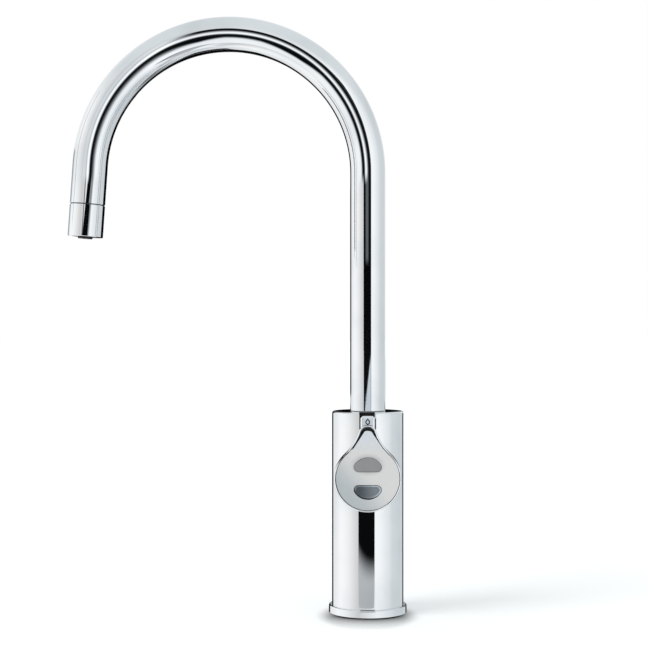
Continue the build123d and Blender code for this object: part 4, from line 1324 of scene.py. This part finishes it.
@dataclass(frozen=True)
class HoopCard(Card):
    """A half ring before the gooseneck's arch.

    It is what the arch mirrors of the tent's opening, drawn out along it. A white line runs round
    it between a black line and a dark band that fades inwards. The outer black line ends near the
    top, where the arch starts to fall to the nozzle. Angles are in degrees from the riser's side,
    and each band has its distance from the white line in mm, its colour and its cover.
    """

    strength: float = field(default=1.2, kw_only=True)
    radius: float = 84.2 * MM
    inwards: float = 66.0 * MM
    outwards: float = 26.0 * MM
    end_fade: Pair = (-10.0 * MM, -1.0 * MM)
    spout_side_from: float = 102.0
    spout_side_to: float = 118.0
    broader: float = 9.0 * MM
    broad_core: float = -11.0 * MM
    broad_at: tuple[Pair, ...] = (
        (0.0, 0.0), (46.0, 0.0), (57.0, 1.0), (65.0, 0.8), (76.0, 0.0), (92.0, 0.0), (104.0, 1.0),
        (122.0, 0.0),
    )
    riser_side: tuple[tuple[float, str, float], ...] = (
        (-66.0, "F0F2F3", 0.0), (-60.0, "F0F2F3", 1.0), (-26.0, "EAECED", 1.0),
        (-19.0, "8A8D90", 1.0), (-16.5, "0C0D0E", 1.0), (-9.0, "060708", 1.0),
        (-6.0, "3A3C3E", 1.0), (-3.0, "E4E6E8", 1.0), (0.0, "FFFFFF", 1.0), (3.0, "CCCED0", 1.0),
        (8.0, "2A2C2E", 1.0), (11.0, "060708", 1.0), (16.5, "0C0D0E", 1.0), (19.0, "8A8D90", 0.0),
    )
    spout_side: tuple[tuple[float, str, float], ...] = (
        (-66.0, "F4F6F8", 0.0), (-60.0, "F4F6F8", 1.0), (-34.0, "F0F2F4", 1.0),
        (-27.0, "C6C8CA", 1.0), (-21.0, "888A8C", 1.0), (-15.5, "404244", 1.0),
        (-11.0, "060708", 1.0), (-6.5, "060708", 1.0), (-4.0, "4A4C4E", 1.0),
        (-1.5, "E8EAEC", 1.0), (1.0, "FFFFFF", 1.0), (4.5, "FAFBFC", 1.0), (9.0, "B0B4B6", 1.0),
        (12.0, "D2D6D8", 1.0), (22.0, "D4D8DA", 1.0), (26.0, "D4D8DA", 0.0),
    )

    def shade(self, tree: Tree, place: Socket) -> tuple[Socket | Colour, Socket]:
        """Look the bands up by distance from the white line, on each side of the arch.

        The angle is taken from the height's absolute value, so that it runs on below the centre.

        Args:
            tree: The material's tree.
            place: The place on the card, in metres from its centre.

        Returns:
            Its colour, and how far it covers, from 0 to 1.
        """
        axes = add(tree, "ShaderNodeSeparateXYZ", {"Vector": place})
        far = add(tree, "ShaderNodeVectorMath", {0: place}, operation="LENGTH")
        height = add(tree, "ShaderNodeMath", {0: axes.outputs["Y"]}, operation="ABSOLUTE")
        angle = add(tree, "ShaderNodeMath", {
            0: height.outputs[0], 1: axes.outputs["X"],
        }, operation="ARCTAN2")
        across = add(tree, "ShaderNodeMapRange", {
            "Value": self._broadened(tree, far.outputs["Value"], angle.outputs[0]),
            "From Min": self.radius - self.inwards, "From Max": self.radius + self.outwards,
        })
        side = add(tree, "ShaderNodeMapRange", {
            "Value": angle.outputs[0],
            "From Min": math.radians(self.spout_side_from),
            "From Max": math.radians(self.spout_side_to),
        }, interpolation_type="SMOOTHSTEP")
        riser, spout = (
            self._bands(tree, across.outputs["Result"], bands)
            for bands in (self.riser_side, self.spout_side)
        )
        colour = add(tree, "ShaderNodeMix", {
            "Factor": side.outputs["Result"],
            "A": riser.outputs["Color"], "B": spout.outputs["Color"],
        }, data_type="RGBA")
        bands_cover = add(tree, "ShaderNodeMix", {
            "Factor": side.outputs["Result"],
            "A": riser.outputs["Alpha"], "B": spout.outputs["Alpha"],
        })
        upper = add(tree, "ShaderNodeMapRange", {
            "Value": axes.outputs["Y"],
            "From Min": self.end_fade[0], "From Max": self.end_fade[1],
        }, interpolation_type="SMOOTHSTEP")
        cover = add(tree, "ShaderNodeMath", {
            0: bands_cover.outputs["Result"], 1: upper.outputs[0],
        }, operation="MULTIPLY")
        return colour.outputs["Result"], cover.outputs[0]

    def _broadened(self, tree: Tree, far: Socket, angle: Socket) -> Socket:
        """Broaden the inner dark band where the arch shows it thicker.

        Args:
            tree: The material's tree.
            far: The distance from the hoop's centre.
            angle: The angle round the hoop, from the riser's side.

        Returns:
            The distance to look the bands up with.
        """
        turn = add(tree, "ShaderNodeMath", {0: angle, 1: math.pi}, operation="DIVIDE")
        amount = add(tree, "ShaderNodeValToRGB", {"Fac": turn.outputs[0]})
        set_stops(amount.color_ramp, [
            (degrees / 180.0, (share, share, share, 1.0)) for degrees, share in self.broad_at
        ])
        moved = add(tree, "ShaderNodeMath", {
            0: amount.outputs["Color"], 1: self.broader, 2: far,
        }, operation="MULTIPLY_ADD")
        held = add(tree, "ShaderNodeMath", {
            0: moved.outputs[0], 1: self.radius + self.broad_core,
        }, operation="MINIMUM")
        return add(tree, "ShaderNodeMath", {
            0: held.outputs[0], 1: far,
        }, operation="MAXIMUM").outputs[0]

    def _bands(self, tree: Tree, across: Socket,
               bands: tuple[tuple[float, str, float], ...]) -> Node:
        """Add the ramp of one side's bands.

        Args:
            tree: The material's tree.
            across: The place between the hoop's inner and outer edge, from 0 to 1.
            bands: The side's bands.

        Returns:
            The ramp.
        """
        ramp = add(tree, "ShaderNodeValToRGB", {"Fac": across})
        set_stops(ramp.color_ramp, [
            (
                (distance * MM + self.inwards) / (self.inwards + self.outwards),
                (*linear(colour)[:3], cover),
            )
            for distance, colour, cover in bands
        ])
        return ramp


@dataclass(frozen=True)
class WorktopWedge(Card):
    """The part of the worktop before the tap, as wide as the body shows it.

    It is grey beside the tap and darkens to black away from it, sooner on the right. Each side has
    its distance from the middle at the body's front, and how much it spreads for a metre away.
    """

    colour: str = "BCBFC1"
    far_colour: str = "0A0B0C"
    body_front: float = 0.0221
    start: float = 0.025
    reach: float = 0.62
    edge: float = 0.004
    left: Pair = (0.0057, 0.587)
    right: Pair = (0.0044, 0.42)
    skew: float = 0.25
    grey_to: float = 0.11
    black_from: float = 0.25

    def shade(self, tree: Tree, place: Socket) -> tuple[Socket | Colour, Socket]:
        """Cut the card to the wedge and darken it with distance from the tap.

        Args:
            tree: The material's tree.
            place: The place on the card, in metres from its centre.

        Returns:
            Its colour, and how far it covers, from 0 to 1.
        """
        axes = add(tree, "ShaderNodeSeparateXYZ", {"Vector": place})
        away = add(tree, "ShaderNodeMath", {
            0: axes.outputs["Y"], 1: -1.0, 2: -self.body_front,
        }, operation="MULTIPLY_ADD").outputs[0]
        cover = where_all(tree, (
            (away, "LESS_THAN", self.reach), (away, "GREATER_THAN", self.start),
        ))
        for sign, (beside, spread) in ((1.0, self.left), (-1.0, self.right)):
            limit = add(tree, "ShaderNodeMath", {
                0: away, 1: spread, 2: beside,
            }, operation="MULTIPLY_ADD")
            inside = add(tree, "ShaderNodeMath", {
                0: axes.outputs["X"], 1: sign, 2: limit.outputs[0],
            }, operation="MULTIPLY_ADD")
            within = add(tree, "ShaderNodeMapRange", {
                "Value": inside.outputs[0], "From Min": 0.0, "From Max": self.edge,
            }, interpolation_type="SMOOTHSTEP")
            cover = add(tree, "ShaderNodeMath", {
                0: cover, 1: within.outputs[0],
            }, operation="MULTIPLY").outputs[0]
        skewed = add(tree, "ShaderNodeMath", {
            0: axes.outputs["X"], 1: self.skew, 2: away,
        }, operation="MULTIPLY_ADD")
        fade = add(tree, "ShaderNodeMapRange", {
            "Value": skewed.outputs[0], "From Min": self.grey_to, "From Max": self.black_from,
        }, interpolation_type="SMOOTHSTEP")
        colour = add(tree, "ShaderNodeMix", {
            "Factor": fade.outputs[0], "A": linear(self.colour), "B": linear(self.far_colour),
        }, data_type="RGBA")
        return colour.outputs["Result"], cover


# How a card is turned, in degrees: lying down, or upright and leaning as the spout's leg does.
FLAT = (0.0, 0.0, 0.0)
WITH_THE_LEG = (90.0, 4.0, 0.0)

# Far cards that the tap's front mirrors: the tent's dark opening, what is low in it, the worktop
# before the tap, and a seam of the tent on the left.
TENT_OPENING = (
    PlainCard("dark_opening", (-0.015, -1.12, 0.45), (0.97, 0.94), "0A0B0C", 0.012),
    PlainCard("low_white_in_opening", (0.035, -1.10, 0.087), (0.77, 0.12), "D3DBE2", 0.012),
    PlainCard("dark_over_low_white", (-0.05, -1.095, 0.149), (0.98, 0.12), "0A0B0C", 0.006,
              turn=(90.0, -5.7, 0.0)),
    PlainCard("dark_room_floor", (0.0, -0.87, 0.001), (0.80, 0.50), "0A0B0C", 0.02, turn=FLAT),
    WorktopWedge("worktop_before_tap", (0.0, 0.0, 0.0012), (0.80, 1.30), turn=FLAT),
    PlainCard("seam_of_tent", (-0.45, 0.0, 0.40), (0.035, 0.26), "AEB1B2", 0.008,
              turn=(90.0, 0.0, 90.0)),
)
# Near cards that draw the lines along the riser, the arch, the leg and the nozzle.
BEFORE_THE_SPOUT = (
    PlainCard("black_before_riser", (-0.0031, -0.0405, 0.2230), (0.0302, 0.1180), "08090A",
              0.0003),
    PlainCard("grey_before_riser", (-0.0026, -0.0395, 0.2520), (0.0170, 0.0680), "666A6E",
              0.0034),
    HoopCard("hoop_before_arch", (-0.0900, -0.039, 0.2802), (0.26, 0.26)),
    PlainCard("line_beside_leg", (-0.1838, -0.04, 0.266), (0.0040, 0.085), "8E8E8E", 0.0006,
              turn=WITH_THE_LEG),
    PlainCard("white_before_leg", (-0.1655, -0.0405, 0.266), (0.0330, 0.085), "F7F8FA", 0.0006,
              turn=WITH_THE_LEG),
    PlainCard("black_before_leg", (-0.1687, -0.0395, 0.2675), (0.0154, 0.092), "08090A", 0.0008,
              turn=(90.0, 15.5, 0.0)),
    PlainCard("grey_before_leg", (-0.1560, -0.0398, 0.2675), (0.0200, 0.092), "8F9193", 0.0040,
              turn=(90.0, 15.5, 0.0)),
    PlainCard("black_before_nozzle", (-0.1704, -0.0394, 0.2475), (0.0190, 0.0240), "08090A",
              0.0008, turn=(90.0, 9.0, 0.0)),
)
# Cards behind the tap that its edges mirror at a glancing angle, so that they stand out from the
# white ground.
BEHIND_THE_TAP = (
    PlainCard("flag_behind_arch", (-0.105, 0.15, 0.225), (0.12, 0.21), "08090A", 0.006),
    PlainCard("flag_behind_riser", (-0.03, 0.152, 0.213), (0.06, 0.139), "8B8E8F", 0.003),
    PlainCard("flag_behind_deck", (0.0, 0.155, 0.142), (0.12, 0.035), "08090A", 0.003),
    PlainCard("flag_behind_left", (-0.075, 0.15, 0.038), (0.11, 0.18), "1A1B1C", 0.006),
    PlainCard("flag_behind_right", (0.075, 0.15, 0.038), (0.11, 0.18), "5A5B5C", 0.006),
    PlainCard("flag_behind_leg", (-0.1610, 0.014, 0.279), (0.035, 0.100), "060708", 0.001,
              turn=WITH_THE_LEG),
    PlainCard("edge_behind_leg", (-0.2035, 0.014, 0.262), (0.027, 0.070), "AAB1B4", 0.001,
              turn=WITH_THE_LEG),
)


@dataclass
class Studio:
    """The pale floor, the light, the cards and the camera.

    The tent's walls have a colour for each angle round the tap, in degrees from the front and
    positive to the right.
    """

    camera_distance: float = 0.946
    camera_height: float = 0.1812
    camera_yaw: float = math.radians(1.67)
    focal_mm: float = 83.33
    sensor_mm: float = 36.0
    floor_size: float = 30.0
    floor_colour: str = "F3F3F3"
    floor_glow: float = 0.14
    shadow_colour: str = "000000"
    contact_reach: float = 0.045
    contact_range: Pair = (0.62, 0.98)
    shadow_narrow: float = 1.4
    shadow_forward: float = 0.013
    shadow_range: Pair = (0.022, 0.048)
    lamp_place: Point = (-1.2, -0.7, 1.3)
    lamp_aim: Point = (0.0, 0.0, 0.1)
    lamp_angle: float = math.radians(30.0)
    lamp_energy: float = 1.04
    tent_strength: float = 1.1
    tent_top: str = "D9DEE0"
    tent_top_range: Pair = (0.45, 0.75)
    tent_walls: tuple[tuple[float, str], ...] = (
        (-180.0, "E4E6E7"), (-128.0, "EDEEEE"), (-97.0, "FDFDFD"), (-79.0, "F9F9F9"),
        (-62.0, "F0F0F0"), (-45.0, "E0E0E0"), (-28.0, "CECECE"), (28.0, "FAFCFD"),
        (45.0, "F5F7F8"), (60.0, "EAEDEF"), (72.0, "E3E7E9"), (86.0, "D5DADC"),
        (125.0, "CDD3D6"), (150.0, "D8DCDE"), (180.0, "E4E6E7"),
    )
    cards: tuple[Card, ...] = TENT_OPENING + BEFORE_THE_SPOUT + BEHIND_THE_TAP

    def build(self) -> None:
        """Build everything round the tap."""
        self._camera()
        self._world()
        self._floor()
        self._lamp()
        for card in self.cards:
            card.build()
            log.info("card %s", card.name)

    def _camera(self) -> None:
        """Place the camera level, in front of the lever, turned a little to the spout's side."""
        data = bpy.data.cameras.new("camera")
        data.lens = self.focal_mm
        data.sensor_width = self.sensor_mm
        camera = bpy.data.objects.new("camera", data)
        camera.location = (0.0, -self.camera_distance, self.camera_height)
        camera.rotation_euler = (math.pi / 2, 0.0, self.camera_yaw)
        bpy.context.scene.collection.objects.link(camera)
        bpy.context.scene.camera = camera

    def _world(self) -> None:
        """Light the tap evenly from all round, with a white background for the camera."""
        world = bpy.data.worlds.new("light_tent")
        bpy.context.scene.world = world
        tree = blank_tree(world)
        way = add(tree, "ShaderNodeSeparateXYZ", {
            "Vector": add(tree, "ShaderNodeTexCoord").outputs["Generated"],
        })
        front = add(tree, "ShaderNodeMath", {0: way.outputs["Y"], 1: -1.0}, operation="MULTIPLY")
        round_tap = add(tree, "ShaderNodeMath", {
            0: way.outputs["X"], 1: front.outputs[0],
        }, operation="ARCTAN2")
        share = add(tree, "ShaderNodeMapRange", {
            "Value": round_tap.outputs[0], "From Min": -math.pi, "From Max": math.pi,
        })
        walls = add(tree, "ShaderNodeValToRGB", {"Fac": share.outputs["Result"]})
        set_stops(walls.color_ramp, [
            ((degrees + 180.0) / 360.0, linear(colour)) for degrees, colour in self.tent_walls
        ])
        up = add(tree, "ShaderNodeMapRange", {
            "Value": way.outputs["Z"],
            "From Min": self.tent_top_range[0], "From Max": self.tent_top_range[1],
        }, interpolation_type="SMOOTHSTEP")
        sky = add(tree, "ShaderNodeMix", {
            "Factor": up.outputs["Result"],
            "A": walls.outputs["Color"], "B": linear(self.tent_top),
        }, data_type="RGBA")
        tent = add(tree, "ShaderNodeBackground", {
            "Color": sky.outputs["Result"], "Strength": self.tent_strength,
        })
        white = add(tree, "ShaderNodeBackground", {"Color": linear("FFFFFF")})
        seen = add(tree, "ShaderNodeLightPath")
        shown = add(tree, "ShaderNodeMixShader", {
            0: seen.outputs["Is Camera Ray"], 1: tent.outputs[0], 2: white.outputs[0],
        })
        add(tree, "ShaderNodeOutputWorld", {"Surface": shown.outputs[0]})

    def _floor(self) -> None:
        """Lay a pale floor that shows white where it is lit and keeps the tap's shadow."""
        made = bpy.data.materials.new("pale_floor")
        tree = blank_tree(made)
        colour = self._floor_colour(tree)
        matt = add(tree, "ShaderNodeBsdfDiffuse", {"Color": colour})
        glow = add(tree, "ShaderNodeEmission", {"Color": colour, "Strength": self.floor_glow})
        lifted = add(tree, "ShaderNodeAddShader", {0: matt.outputs[0], 1: glow.outputs[0]})
        seen = add(tree, "ShaderNodeLightPath")
        straight = add(tree, "ShaderNodeMath", {
            0: seen.outputs["Is Camera Ray"], 1: seen.outputs["Is Glossy Ray"],
        }, operation="MAXIMUM")
        bright = add(tree, "ShaderNodeMath", {
            0: straight.outputs[0], 1: seen.outputs["Is Transmission Ray"],
        }, operation="MAXIMUM")
        shown = add(tree, "ShaderNodeMixShader", {
            0: bright.outputs[0], 1: matt.outputs[0], 2: lifted.outputs[0],
        })
        add(tree, "ShaderNodeOutputMaterial", {"Surface": shown.outputs[0]})
        floor = rectangle("floor", (self.floor_size, self.floor_size), made)
        floor.visible_glossy = False

    def _floor_colour(self, tree: Tree) -> Socket:
        """Darken the floor's colour, a painted shadow, where the tap hides it from the sky, within an
        oval round the ring.

        Args:
            tree: The material's tree.

        Returns:
            The floor's colour.
        """
        hidden = add(tree, "ShaderNodeAmbientOcclusion", {"Distance": self.contact_reach})
        open_sky = add(tree, "ShaderNodeMapRange", {
            "Value": hidden.outputs["AO"],
            "From Min": self.contact_range[0], "From Max": self.contact_range[1],
        })
        place = add(tree, "ShaderNodeVectorMath", {
            0: add(tree, "ShaderNodeTexCoord").outputs["Object"],
            1: (self.shadow_narrow, 1.0, 0.0),
            2: (0.0, self.shadow_forward, 0.0),
        }, operation="MULTIPLY_ADD")
        away = add(tree, "ShaderNodeVectorMath", {0: place.outputs["Vector"]}, operation="LENGTH")
        beside = add(tree, "ShaderNodeMapRange", {
            "Value": away.outputs["Value"],
            "From Min": self.shadow_range[0], "From Max": self.shadow_range[1],
        }, interpolation_type="SMOOTHSTEP")
        lit = add(tree, "ShaderNodeMath", {
            0: open_sky.outputs["Result"], 1: beside.outputs["Result"],
        }, operation="MAXIMUM")
        return add(tree, "ShaderNodeMix", {
            "Factor": lit.outputs[0],
            "A": linear(self.shadow_colour), "B": linear(self.floor_colour),
        }, data_type="RGBA").outputs["Result"]

    def _lamp(self) -> None:
        """Hang one broad soft lamp high on the left, so that shadows lean to the right."""
        data = bpy.data.lights.new("soft_lamp", "SUN")
        data.angle = self.lamp_angle
        data.energy = self.lamp_energy
        lamp = bpy.data.objects.new("soft_lamp", data)
        lamp.location = self.lamp_place
        aim = Vector(self.lamp_aim) - lamp.location
        lamp.rotation_euler = aim.to_track_quat("-Z", "Y").to_euler()
        lamp.visible_glossy = False
        bpy.context.scene.collection.objects.link(lamp)


def main() -> None:
    """Build the studio and the tap."""
    logging.basicConfig(level=logging.INFO, format="%(name)s: %(message)s")
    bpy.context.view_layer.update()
    bpy.context.scene.view_settings.view_transform = "Standard"
    paints = Paintbox()
    for part in (Studio(), Spout(paints), Column(paints), Lever(paints), Hinge(paints)):
        log.info("building the %s", type(part).__name__.lower())
        part.build()


if __name__ == "__main__":
    main()
